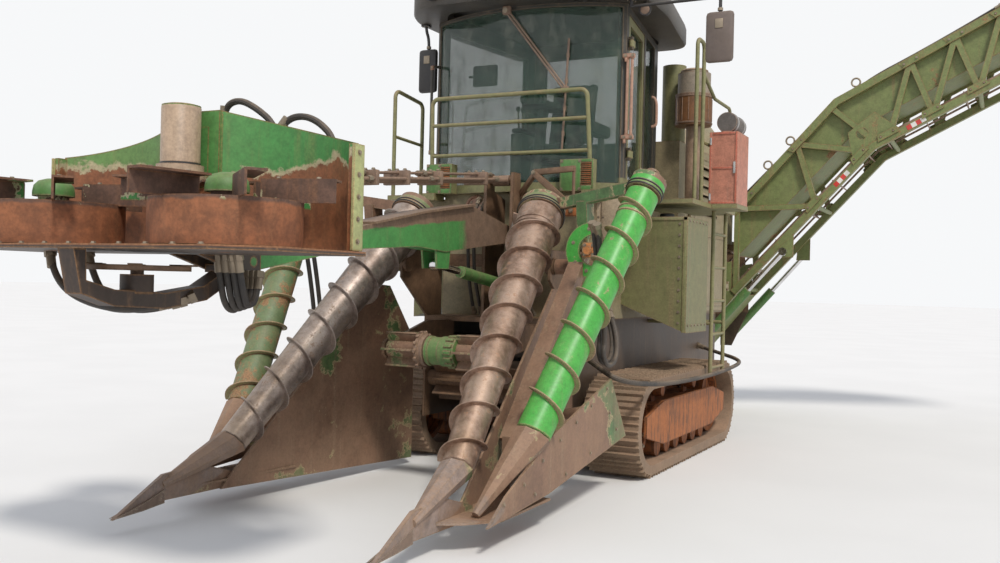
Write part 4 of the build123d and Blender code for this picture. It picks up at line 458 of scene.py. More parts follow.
def build_materials(colours):
    """Fills MATERIALS from the stage's colours: key, material's name, paint, bare colour and measures."""
    olive, green, rust, hood_green = colours.olive, colours.green, colours.rust, colours.hood_green
    bare, black = tuple(colours.bare_metal), (0.03, 0.032, 0.028)
    painted = {
        "green": ("worn_green_paint", green, bare, dict(wear=0.42, edge=1.0, dust=0.3, streaks=0.35)),
        "bright_green": ("bright_green_paint", colours.bright_green, (0.36, 0.27, 0.16),
                         dict(wear=0.5, edge=1.0, grain=1.6, streaks=0.15, dust=0.12, low=0.1, rough=0.38)),
        # The hood paint's last colour, near black, is painted shade under the hood's base.
        "hood": ("hood_green_over_rust", hood_paint(hood_green, rust, (0.46, 0.4, 0.24), (0.035, 0.022, 0.016)),
                 (0.3, 0.16, 0.07), dict(wear=0.2, edge=0.8, dust=0.16, low=0.0, streaks=0.25)),
        "arm": ("arm_green_under_dust", arm_paint(hood_green, (0.2, 0.125, 0.08)), (0.26, 0.17, 0.1),
                dict(wear=0.2, edge=0.5, dust=0.25, low=0.0, streaks=0.2)),
        "dark_shell": ("cab_frame_paint", stacked_paint([(2.325, olive), (9.0, black)]), (0.2, 0.15, 0.09),
                       dict(wear=0.2, edge=0.5, dust=0.25, low=0.1)),
        "cleaner": ("cleaner_bands", stacked_paint([(2.957, (0.4, 0.27, 0.18)), (3.233, (0.2, 0.085, 0.03)),
                                                    (9.0, (0.3, 0.25, 0.19))], 0.0),
                    (0.24, 0.13, 0.06), dict(wear=0.25, edge=0.5, dust=0.25, low=0.0)),
        "canister": ("grey_canister", (0.42, 0.43, 0.43), (0.3, 0.26, 0.22),
                     dict(wear=0.2, edge=0.5, dust=0.25, low=0.0)),
        "tan": ("tan_panel", (0.38, 0.3, 0.2), (0.28, 0.19, 0.11), dict(wear=0.22, dust=0.35, low=0.0)),
        "olive": ("dusty_olive_paint", olive, (0.24, 0.16, 0.09),
                  dict(wear=0.3, edge=1.0, dust=0.42, low=0.35, streaks=0.45)),
        "housing": ("faded_housing_paint", colours.housing, (0.26, 0.18, 0.1),
                    dict(wear=0.26, edge=1.0, dust=0.5, low=0.4, streaks=0.5)),
        "truss": ("elevator_green_paint", colours.truss, (0.3, 0.17, 0.08),
                  dict(wear=0.5, edge=1.1, dust=0.35, low=0.2, streaks=0.4)),
        # The frame paint's second colour is painted shade for the low walls under the housings.
        "frame": ("frame_brown", frame_paint((0.2, 0.115, 0.065), (0.06, 0.04, 0.026)), (0.12, 0.07, 0.035),
                  dict(wear=0.42, grain=1.4, dust=0.24, low=0.12, streaks=0.7)),
        "divider": ("divider_plate", divider_paint(colours.steel_brown, green, (0.36, 0.31, 0.16),
                                                   (0.3, 0.235, 0.205)),
                    (0.27, 0.19, 0.12), dict(wear=0.3, edge=0.8, dust=0.3, low=0.5, streaks=0.5)),
        "rust": ("drum_rust", drum_paint(rust, (0.13, 0.068, 0.045), hood_green, (0.42, 0.4, 0.24)),
                 (0.2, 0.09, 0.04), dict(wear=0.35, edge=0.3, dust=0.12, low=0.0, streaks=0.5, rough=0.7,
                                         bare_rough=0.8, bare_metal=0.1, bump=0.45)),
        "track": ("track_steel", (0.2, 0.14, 0.09), (0.33, 0.25, 0.17),
                  dict(wear=0.45, edge=0.9, dust=0.5, low=0.4, streaks=0.1, rough=0.7, bare_metal=0.6)),
        "orange_rust": ("track_frame_rust", streaked_paint((0.36, 0.115, 0.028), (0.13, 0.05, 0.02)),
                        (0.13, 0.055, 0.022), dict(wear=0.42, edge=0.4, grain=2.0, dust=0.05, low=0.06,
                                                   streaks=0.5, rough=0.7, bare_rough=0.8, bare_metal=0.1)),
        "worn_tan": ("handled_tan_steel", (0.4, 0.23, 0.16), (0.3, 0.15, 0.09),
                     dict(wear=0.35, edge=0.5, dust=0.2, low=0.0)),
        "tank": ("tank_olive", (0.15, 0.155, 0.06), (0.24, 0.17, 0.09), dict(wear=0.26, edge=1.0, streaks=0.5)),
        "cap_green": ("cap_green", (0.16, 0.22, 0.09), (0.33, 0.23, 0.15),
                      dict(wear=0.52, edge=0.9, grain=1.5, dust=0.25, low=0.0)),
        "locker": ("faded_locker_paint", stacked_paint([(2.83, (0.5, 0.2, 0.13)), (9.0, (0.13, 0.115, 0.105))],
                                                       0.0),
                   (0.42, 0.28, 0.2), dict(wear=0.22, edge=0.5, dust=0.22, low=0.0, streaks=0.35)),
        "khaki": ("tan_post", (0.43, 0.31, 0.21), (0.3, 0.19, 0.12),
                  dict(wear=0.3, edge=0.4, dust=0.15, low=0.0, streaks=0.35, rough=0.42, bare_rough=0.5,
                       bare_metal=0.4)),
        "red": ("faded_red_paint", colours.red, (0.4, 0.25, 0.18),
                dict(wear=0.35, edge=0.9, dust=0.3, low=0.0, streaks=0.4)),
        "pipe": ("brown_pipe", (0.2, 0.13, 0.09), (0.34, 0.22, 0.14), dict(edge=0.2, dust=0.35, low=0.0, rough=0.55)),
        "iron": ("engine_iron", (0.11, 0.1, 0.09), (0.2, 0.14, 0.08), dict(wear=0.3)),
        "orange": ("orange_motor", (0.55, 0.2, 0.05), bare, dict(wear=0.35, dust=0.25, low=0.0)),
        "flight_edge": ("flight_edge", (0.3, 0.29, 0.13), (0.4, 0.27, 0.17),
                        dict(wear=0.6, edge=1.0, grain=1.5, dust=0.25)),
        "worn_tip": ("worn_tip_steel", (0.16, 0.11, 0.08), (0.36, 0.3, 0.24),
                     dict(wear=0.5, edge=1.0, grain=1.5, dust=0.25, low=0.2, bare_rough=0.4, bare_metal=0.8)),
        "pale_edge": ("pale_edge_paint", (0.36, 0.38, 0.16), (0.4, 0.24, 0.12), dict(edge=0.7, dust=0.3, low=0.0)),
        "old_green_screw": ("old_green_screw", (0.1, 0.17, 0.07), (0.3, 0.17, 0.08),
                            dict(wear=0.62, edge=0.8, grain=1.4, dust=0.2)),
    }
    plain = {
        "taupe": ("mirror_taupe", (0.11, 0.085, 0.075), 0.55, dict(dust=0.3)),
        "roof": ("roof_moulding", (0.035, 0.033, 0.03), 0.5, dict(dust=0.3)),
        "rubber": ("hose_rubber", (0.02, 0.02, 0.021), 0.6, dict(dust=0.3)),
        "black": ("black_plastic", (0.025, 0.025, 0.027), 0.42, dict(dust=0.15)),
        "chrome": ("rod_chrome", (0.75, 0.75, 0.76), 0.12, dict(metal=1.0, dust=0.1, bump=0.02)),
        "bolt": ("bolt_steel", (0.3, 0.25, 0.19), 0.5, dict(metal=0.8, dust=0.3)),
        "mirror": ("mirror_glass", (0.8, 0.82, 0.84), 0.05, dict(metal=1.0, dust=0.12, bump=0.0)),
        "lens": ("lamp_lens", (0.72, 0.72, 0.68), 0.12, dict(dust=0.2, coat=1.0, bump=0.05)),
        "reflector_red": ("reflector_red", (0.6, 0.03, 0.02), 0.25, dict(dust=0.15, coat=0.5)),
        "reflector_white": ("reflector_white", (0.78, 0.76, 0.7), 0.25, dict(dust=0.2, coat=0.5)),
    }
    for key, (name, paint, worn_to, measures) in painted.items():
        MATERIALS[key] = weathered(name, paint, worn_to, colours.dust, **measures)
    for key, (name, colour, rough, measures) in plain.items():
        MATERIALS[key] = plain_finish(name, colour, rough, **measures)
    MATERIALS["glass"] = make_glass(colours.glass)
    MATERIALS["screw_steel"] = make_screw_steel("screw_steel", (0.44, 0.32, 0.26), (0.19, 0.115, 0.08),
                                                (0.3, 0.15, 0.08))
    MATERIALS["bare_screw"] = make_screw_steel("screw_bare_grey", (0.4, 0.34, 0.31), (0.15, 0.115, 0.1),
                                               (0.22, 0.13, 0.08))
    MATERIALS["fabric"] = make_fabric("seat_fabric", (0.05, 0.05, 0.055))


# Mesh tools


def facing(place, way):
    """A frame at a place, with its z axis along a way."""
    return Matrix.Translation(place) @ way.to_track_quat("Z", "Y").to_matrix().to_4x4()


def ordered(p, q):
    """The low and the high corner of the box that two points span."""
    return Vector([min(pair) for pair in zip(p, q)]), Vector([max(pair) for pair in zip(p, q)])


def faces_of(verts):
    return list({face for vert in verts for face in vert.link_faces})


def edges_of(verts):
    return list({edge for vert in verts for edge in vert.link_edges})


def connected(verts):
    """All vertices joined by edges to the given ones."""
    seen, todo = set(verts), list(verts)
    while todo:
        for edge in todo.pop().link_edges:
            new = [vert for vert in edge.verts if vert not in seen]
            seen.update(new)
            todo.extend(new)
    return list(seen)


def collar(radius, bore, low, high, round_off=0.004):
    """The outline of a ring round a pipe, for Piece.lathe."""
    return [(bore, low), (radius - round_off, low), (radius, low + round_off), (radius, high - round_off),
            (radius - round_off, high), (bore, high), (bore, low)]


def band(radius, bore, middle, half, round_off):
    """A collar given by the middle of its height."""
    return collar(radius, bore, middle - half, middle + half, round_off)


class Piece:
    """A piece in the making.

    spot, axis, box, bar, rod and bolts take points in millimetres, mirrored to the right by side -1.
    The other calls take metres.
    """

    def __init__(self, side=1):
        self.bm = bmesh.new()
        self.side = side

    def spot(self, point):
        return mm(point[0] * self.side, point[1], point[2])

    def axis(self, p, q):
        """A frame at one point that looks to another."""
        return facing(self.spot(p), self.spot(q) - self.spot(p))

    def mark(self, verts, index):
        for face in faces_of(verts):
            face.material_index = index

    def softened(self, size, bevel):
        """A block about the origin with rounded edges."""
        verts = bmesh.ops.create_cube(self.bm, size=1.0)["verts"]
        bmesh.ops.scale(self.bm, vec=size, verts=verts)
        if bevel:
            made = bmesh.ops.bevel(self.bm, geom=edges_of(verts), offset=bevel, segments=2, profile=0.5,
                                   affect="EDGES", material=-1)
            verts = connected([vert for face in made["faces"] for vert in face.verts])
        return verts

    def block(self, low, high, bevel=0.0, index=0, turn=Matrix(), place=Matrix()):
        """A block turned about its middle, in the frame of a place."""
        low, high = ordered(low, high)
        verts = self.softened(high - low, bevel)
        bmesh.ops.transform(self.bm, matrix=place @ Matrix.Translation((low + high) / 2) @ turn, verts=verts)
        self.mark(verts, index)

    def box(self, low, high, bevel=0.0, index=0):
        self.block(self.spot(low), self.spot(high), bevel, index)

    def boxes(self, pairs, bevel, index=0):
        for low, high in pairs:
            self.box(low, high, bevel, index)

    def bar(self, p, q, width, height):
        """A folded or square bar between two points, with softened edges."""
        p, q = self.spot(p), self.spot(q)
        verts = self.softened((width, height, (q - p).length), min(width, height) * 0.12)
        bmesh.ops.transform(self.bm, matrix=facing((p + q) / 2, q - p), verts=verts)

    def cone(self, p, q, radius, end_radius, sides, index):
        made = bmesh.ops.create_cone(self.bm, cap_ends=True, segments=sides, radius1=radius, radius2=end_radius,
                                     depth=(q - p).length, matrix=facing((p + q) / 2, q - p))
        self.mark(made["verts"], index)

    def rod(self, p, q, radius, sides=20, index=0):
        self.cone(self.spot(p), self.spot(q), radius, radius, sides, index)

    def bolt(self, place, normal, size, index=1):
        """A hexagon head with a washer, standing on a face."""
        way = Vector(normal).normalized()
        seat = place + way * size * 0.2
        self.cone(place, seat, size * 1.35, size * 1.35, 14, index)
        self.cone(seat, place + way * size * 0.9, size, size * 0.92, 6, index)

    def bolts(self, points, normal, size, index=1):
        for point in points:
            self.bolt(self.spot(point), (normal[0] * self.side, normal[1], normal[2]), size, index)

    def bolt_circle(self, place, radius, height, count, size, normal=None, start=0.0, index=1):
        """Bolts round the z axis of a frame. Without a normal they stand outward."""
        for k in range(count):
            angle = start + FULL_TURN * k / count
            out = Vector((math.cos(angle), math.sin(angle), 0))
            self.bolt(place @ (out * radius + Vector((0, 0, height))), normal or out, size, index)

    def settle(self, verts, place, index):
        """Turns faces outward, moves them to their frame and marks them."""
        bmesh.ops.recalc_face_normals(self.bm, faces=faces_of(verts))
        bmesh.ops.transform(self.bm, matrix=place, verts=verts)
        self.mark(verts, index)

    def spin(self, geometry, angle=FULL_TURN, steps=28, rise=0.0, merge=True):
        bmesh.ops.spin(self.bm, geom=geometry, cent=(0, 0, 0), axis=(0, 0, 1), dvec=(0, 0, rise), angle=angle,
                       steps=steps, use_merge=merge, use_normal_flip=False, use_duplicate=False)

    def close(self, verts, place, index):
        """Welds what was spun all the way round, and settles it."""
        whole = connected(verts)
        bmesh.ops.remove_doubles(self.bm, verts=whole, dist=1e-6)
        self.settle([vert for vert in whole if vert.is_valid], place, index)

    def lathe(self, profile, place, steps, index=0):
        """Turns a line of (radius, height) points about the z axis of a frame."""
        verts = [self.bm.verts.new((radius, 0, height)) for radius, height in profile]
        edges = [self.bm.edges.new(pair) for pair in zip(verts, verts[1:])]
        self.spin(verts + edges, steps=steps)
        self.close(verts, place, index)

    def plate(self, outline, thickness, index=0, turned=False):
        """A flat plate from a few corners, thickened along its normal."""
        corners = [self.bm.verts.new(point) for point in (outline[::-1] if turned else outline)]
        face = bmesh.ops.contextual_create(self.bm, geom=corners)["faces"][0]
        face.normal_update()
        grown = bmesh.ops.extrude_face_region(self.bm, geom=[face])["geom"]
        verts = [item for item in grown if isinstance(item, bmesh.types.BMVert)]
        bmesh.ops.translate(self.bm, vec=face.normal * thickness, verts=verts)
        self.mark(corners + verts, index)

    def tube(self, points, radius, fittings=None):
        """A round tube along a smooth line. fittings is the material index of crimped ends."""
        curve = bpy.data.curves.new("line", "CURVE")
        curve.dimensions = "3D"
        curve.bevel_depth = radius
        curve.bevel_resolution = 3
        curve.use_fill_caps = True
        line = curve.splines.new("NURBS")
        line.points.add(len(points) - 1)
        for point, place in zip(line.points, points):
            point.co = (*place, 1)
        line.order_u = 3
        line.use_endpoint_u = True
        line.resolution_u = 8
        holder = bpy.data.objects.new("line", curve)
        mesh = bpy.data.meshes.new_from_object(holder)
        bpy.data.objects.remove(holder)
        first = len(self.bm.verts)
        self.bm.from_mesh(mesh)
        bpy.data.meshes.remove(mesh)
        self.bm.verts.ensure_lookup_table()
        self.mark(self.bm.verts[first:], 0)
        if fittings is not None:
            for end, inward in ((points[0], points[1]), (points[-1], points[-2])):
                way = (inward - end).normalized() * radius
                self.cone(end, end + way * 5, radius * 1.35, radius * 1.35, 12, fittings)
                self.cone(end - way * 0.5, end + way * 1.5, radius * 1.8, radius * 1.8, 6, fittings)

    def finish(self, name, finishes, body, smooth=None, replaces=()):
        """Writes the piece out as an object that rides on a body."""
        mesh = bpy.data.meshes.new(name)
        self.bm.to_mesh(mesh)
        self.bm.free()
        piece = bpy.data.objects.new(name, mesh)
        bpy.context.scene.collection.objects.link(piece)
        for key in finishes:
            mesh.materials.append(MATERIALS[key])
        if smooth is not None:
            mesh.shade_smooth()
            mesh.set_sharp_from_angle(angle=math.radians(smooth))
        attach(piece, body)
        if replaces:
            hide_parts(*replaces)
        return piece


def hose(name, points, radius, body, finish_name="rubber", fittings=1, side=1):
    """A held hose or pipe, with crimped fittings at its ends."""
    piece = Piece(side)
    piece.tube([piece.spot(point) for point in points], radius, fittings)
    piece.finish(name, [finish_name, "bolt"], body, smooth=35)


# Settings and the studio


def colour_setting(name, description, default):
    return bpy.props.FloatVectorProperty(name=name, description=description, subtype="COLOR", default=default)


def angle_setting(name, description, default):
    return bpy.props.FloatProperty(name=name, description=description, default=default, unit="ROTATION")


def length_setting(name, description, default):
    return bpy.props.FloatProperty(name=name, description=description, default=default, unit="LENGTH")


class HarvesterStage(bpy.types.PropertyGroup):
    camera_place: bpy.props.FloatVectorProperty(name="Camera", description="Camera in the machine's own frame",
                                                default=(3.5861, -7.0136, 1.4697), unit="LENGTH")
    yaw: angle_setting("Yaw", "Turn of the view to the machine's right", 0.4726)
    pitch: angle_setting("Pitch", "Lift of the view", 0.0018)
    roll: angle_setting("Roll", "Lean of the view", 0.0247)
    lens: bpy.props.FloatProperty(name="Lens", description="Focal length on a 36 mm frame", default=35.88)
    floor: colour_setting("Floor", "Colour of the floor", (0.74, 0.73, 0.71))


class HarvesterColours(bpy.types.PropertyGroup):
    green: colour_setting("Green", "Worn machine paint", (0.07, 0.2, 0.045))
    bright_green: colour_setting("Bright green", "Newer paint of the left screw", (0.055, 0.36, 0.05))
    hood_green: colour_setting("Hood green", "Paint of the topper's hood and arm", (0.05, 0.24, 0.055))
    olive: colour_setting("Olive", "Dusty paint of the cab and rails", (0.2, 0.2, 0.085))
    housing: colour_setting("Housing", "Faded paint of the housings", (0.24, 0.205, 0.115))
    truss: colour_setting("Elevator", "Paint of the elevator", (0.17, 0.21, 0.07))
    steel_brown: colour_setting("Brown", "Soil-stained plate of the dividers", (0.235, 0.128, 0.078))
    rust: colour_setting("Rust", "Rust of the topper's drums", (0.29, 0.105, 0.042))
    bare_metal: colour_setting("Bare metal", "What shows where paint has gone", (0.28, 0.2, 0.12))
    dust: colour_setting("Dust", "Colour of the field dust", (0.34, 0.218, 0.14))
    red: colour_setting("Red", "Faded red of the locker", (0.5, 0.13, 0.08))
    glass: colour_setting("Glass", "Tint of the cab glass", (0.035, 0.075, 0.052))


class HarvesterScrews(bpy.types.PropertyGroup):
    inner_pitch: length_setting("Inner pitch", "Rise of the inner flight in one turn", 0.27)
    outer_pitch: length_setting("Outer pitch", "Rise of the outer flight in one turn", 0.245)
    flight_height: length_setting("Flight height", "How far a flight stands off its pipe", 0.034)
    flight_thickness: length_setting("Flight thickness", "Width of the flight's edge", 0.010)


def view_axes(yaw, pitch, roll):
    """The camera's right, up and forward directions."""
    forward = Vector((-math.sin(yaw) * math.cos(pitch), math.cos(yaw) * math.cos(pitch), math.sin(pitch)))
    right = Vector((math.cos(yaw), math.sin(yaw), 0))
    up = right.cross(forward)
    c, s = math.cos(roll), math.sin(roll)
    return right * c + up * s, up * c - right * s, forward


class HARVESTER_OT_stage(bpy.types.Operator):
    """Floor, lights and the camera"""
    bl_idname = "harvester.stage"
    bl_label = "Studio"

    def execute(self, context):
        props = context.scene.harvester_stage
        scene = context.scene
        scene.view_settings.view_transform = "Standard"
        camera = bpy.data.objects.new("camera", bpy.data.cameras.new("camera"))
        camera.data.lens = props.lens
        camera.data.sensor_width = 36
        camera.data.sensor_fit = "HORIZONTAL"
        camera.data.clip_end = 200
        right, up, forward = view_axes(props.yaw, props.pitch, props.roll)
        turn = Matrix((right, up, -forward)).transposed().to_4x4()
        camera.matrix_world = Matrix.Translation(at(*props.camera_place)) @ turn
        scene.collection.objects.link(camera)
        scene.camera = camera
        self.floor(scene, props.floor)
        self.lights(scene)
        return {"FINISHED"}

    def floor(self, scene, tone):
        bm = bmesh.new()
        bmesh.ops.create_grid(bm, x_segments=1, y_segments=1, size=120.0)
        mesh = bpy.data.meshes.new("floor")
        bm.to_mesh(mesh)
        bm.free()
        plane = bpy.data.objects.new("floor", mesh)
        scene.collection.objects.link(plane)
        made, g, shader, place = blank_material("studio_floor")
        cloud = g.noise(place, 0.6, 4.0, 0.5)
        g.set(shader, "Base Color", g.mix(g.remap(cloud, 0.35, 0.65), rgba(tone, 0.97), rgba(tone)))
        g.set(shader, "Roughness", g.remap(cloud, 0.2, 0.8, 0.85, 0.95))
        mesh.materials.append(made)

    def lights(self, scene):
        """A soft bluish fill, a white backdrop for what the camera and glass see, and a broad sun."""
        world = bpy.data.worlds.new("studio")
        scene.world = world
        world.use_nodes = True
        g = Graph(world.node_tree)
        seen = g.node("ShaderNodeLightPath").outputs
        soft = g.node("ShaderNodeBackground", {"Color": (0.86, 0.9, 1.0, 1), "Strength": 0.75})
        shown = g.node("ShaderNodeBackground", {"Color": (0.93, 0.94, 0.95, 1), "Strength": 1.0})
        through = g.math("MAXIMUM", seen["Is Glossy Ray"], seen["Is Transmission Ray"])
        any_view = g.math("MAXIMUM", seen["Is Camera Ray"], through)
        both = g.node("ShaderNodeMixShader", {0: any_view, 1: soft.outputs[0], 2: shown.outputs[0]})
        g.node("ShaderNodeOutputWorld", {0: both.outputs[0]})
        sun = bpy.data.objects.new("key", bpy.data.lights.new("key", "SUN"))
        sun.data.energy = 2.4
        sun.data.angle = math.radians(9)
        sun.data.color = (1.0, 0.96, 0.9)
        sun.rotation_euler = Vector((-0.52, 0.5, -0.85)).to_track_quat("-Z", "Y").to_euler()
        scene.collection.objects.link(sun)


# Screws of the row dividers: foot, head, and the pipe's radius at each

INNER_SCREW = ((826, -2092, 419), (550, -464, 1957), 0.095, 0.160)
OUTER_SCREW = ((1105, -1685, 587), (1401, -680, 2081), 0.108, 0.108)


class HARVESTER_OT_screws(bpy.types.Operator):
    """Four smooth pipes with helical flights in place of the dividers' plain screws"""
    bl_idname = "harvester.screws"
    bl_label = "Divider screws"

    def execute(self, context):
        props = context.scene.harvester_screws
        screws = (("inner", INNER_SCREW, props.inner_pitch, 1, ("screw_steel", "bare_screw"), None),
                  ("outer", OUTER_SCREW, props.outer_pitch, -1, ("bright_green", "old_green_screw"), "flight_edge"))
        for kind, shape, pitch, hand, skins, edge in screws:
            for (side, word), skin in zip(SIDES, skins):
                node = f"{kind}_screw_{word}"
                piece = Piece(side)
                self.screw(piece, shape, pitch, hand * side, props)
                piece.finish(f"{node}_pipe", [skin, edge or skin], node, 40, (node,))
        return {"FINISHED"}

    def screw(self, piece, shape, pitch, hand, props):
        """The pipe with its end bands and shaft, and the flight round it."""
        foot, head, r0, r1 = shape
        place = piece.axis(foot, head)
        length = (Vector(head) - Vector(foot)).length / 1000
        edge, shaft = 0.006, 0.038
        piece.lathe([(0, 0), (r0 - edge, 0), (r0, edge), (r1, length - edge), (r1 - edge, length), (0, length)],
                    place, 56)
        for height in (length - 0.165, length - 0.205):
            r = r0 + (r1 - r0) * height / length
            piece.lathe(collar(r + 0.006, r - 0.004, height, height + 0.012, 0.002), place, 48, 1)
        piece.lathe([(0, -shaft), (0.028, -shaft), (0.028, length + shaft), (0, length + shaft)], place, 20)
        self.flight(piece, place, length, r0, r1, pitch, hand, props)

    def flight(self, piece, place, length, r0, r1, pitch, hand, props):
        """A profile spun along the axis, then spread so that it follows the pipe's taper."""
        start, root, steps_in_turn = 0.04, 0.006, 36
        turns = (length - 2 * start) / pitch
        steps = int(turns * steps_in_turn)
        half, top = props.flight_thickness / 2, r0 + props.flight_height
        outline = [(r0 - root, -half), (top - half * 0.6, -half), (top, -half * 0.4), (top, half * 0.4),
                   (top - half * 0.6, half), (r0 - root, half)]
        verts = [piece.bm.verts.new((radius, 0, start + z)) for radius, z in outline]
        face = piece.bm.faces.new(verts)
        piece.spin([face], hand * FULL_TURN * turns, steps, (length - 2 * start) / steps, merge=False)
        whole = connected(verts)
        for vert in whole:
            radius = math.hypot(vert.co.x, vert.co.y)
            spread = 1 + (r1 - r0) * vert.co.z / length / radius
            vert.co.x *= spread
            vert.co.y *= spread
        piece.settle(whole, place, 1)


# The row dividers

WALL_BOLTS = ((-2150, 262), (-1900, 330), (-1650, 430), (-1400, 520), (-1150, 600), (-900, 680), (-620, 770),
              (-560, 600), (-420, 470), (-900, 372), (-1300, 296), (-1750, 250))
TIP_OUTLINE = ((-3008, 92), (-2780, 152), (-2640, 200), (-2640, 118), (-2800, 102))
TIP_FACES = (846, 886)


class HARVESTER_OT_divider_fittings(bpy.types.Operator):
    """Screw caps, wall bolts and tip skirts on both dividers"""
    bl_idname = "harvester.divider_fittings"
    bl_label = "Divider fittings"

    def execute(self, context):
        for side, word in SIDES:
            self.caps(side, word)
            piece = Piece(side)
            piece.bolts([(1156, y, z) for y, z in WALL_BOLTS], (1, 0, 0), 0.010)
            self.tip_skirt(piece)
            piece.finish(f"divider_fittings_{word}", ["divider", "bolt", "green", "worn_tip"], f"divider_{word}",
                         35)
        return {"FINISHED"}

    def caps(self, side, word):
        """Smooth covers over both bearing caps, with their rims and bolts."""
        piece = Piece(side)
        for (foot, head, _, _), cap_radius, depth, index in ((INNER_SCREW, 0.168, 0.11, 0),
                                                             (OUTER_SCREW, 0.12, 0.12, 2)):
            low, high = piece.spot(foot), piece.spot(head)
            way = (high - low).normalized()
            place = facing(high + way * 0.006, way)
            r = cap_radius + 0.002
            piece.lathe([(0, 0.001), (r - 0.002, 0.001), (r + 0.001, 0.006), (r, depth * 0.6), (r - 0.008, depth),
                         (r * 0.8, depth + 0.016), (r * 0.52, depth + 0.024), (0.04, depth + 0.026),
                         (0, depth + 0.026)], place, 48, index)
            for height in (0.004, 0.03):
                piece.lathe(collar(r + 0.008, r - 0.004, height, height + 0.010, 0.003), place, 48, 3)
            piece.bolt_circle(place, r * 0.84, depth + 0.011, 6, 0.009, way, start=0.3)
        outer = "bright_green" if side > 0 else "green"
        piece.finish(f"screw_caps_{word}", ["cap_green", "bolt", outer, "black"], f"divider_{word}",
                     35)

    def tip_skirt(self, piece):
        """Worn steel sheets at both faces of the blade's point."""
        for x in TIP_FACES:
            outline = [piece.spot((x, y, z)) for y, z in TIP_OUTLINE]
            piece.plate(outline, 0.010, 3, piece.side < 0)


# The topper

POST = ((0, -3430, 1905), (0, -3430, 2290))
DRUM_X, DRUM_Y, HOOD_RADIUS = 550, -3700, 555
LINK_PIPES = ((78, 8, 0.011), (-78, 8, 0.011), (20, 48, 0.009), (-20, 48, 0.009))
HEAD_HOSES = {
    "hood_hose_inner": ((-30, -3105, 2262), (-20, -3112, 2340), (80, -3120, 2372), (200, -3124, 2320),
                        (330, -3126, 2225), (350, -3120, 2120)),
    "hood_hose_outer": ((352, -3140, 2190), (400, -3130, 2252), (500, -3126, 2266), (600, -3126, 2226),
                        (690, -3126, 2140), (700, -3120, 2040)),
    "under_hose_1": ((-620, -3560, 1574), (-560, -3580, 1430), (-330, -3600, 1300), (-60, -3560, 1300),
                     (40, -3420, 1350)),
    "under_hose_2": ((-560, -3480, 1574), (-480, -3500, 1400), (-250, -3520, 1290), (-20, -3470, 1310),
                     (60, -3380, 1370)),
    "under_hose_3": ((-690, -3600, 1574), (-640, -3620, 1450), (-420, -3640, 1330), (-100, -3600, 1290),
                     (20, -3450, 1340)),
}


def on_link(t, x, rise):
    """A point by the topper's upper link, t of the way from its rear to its front."""
    return (x, -3000 * t, 2280 - 300 * t + rise)


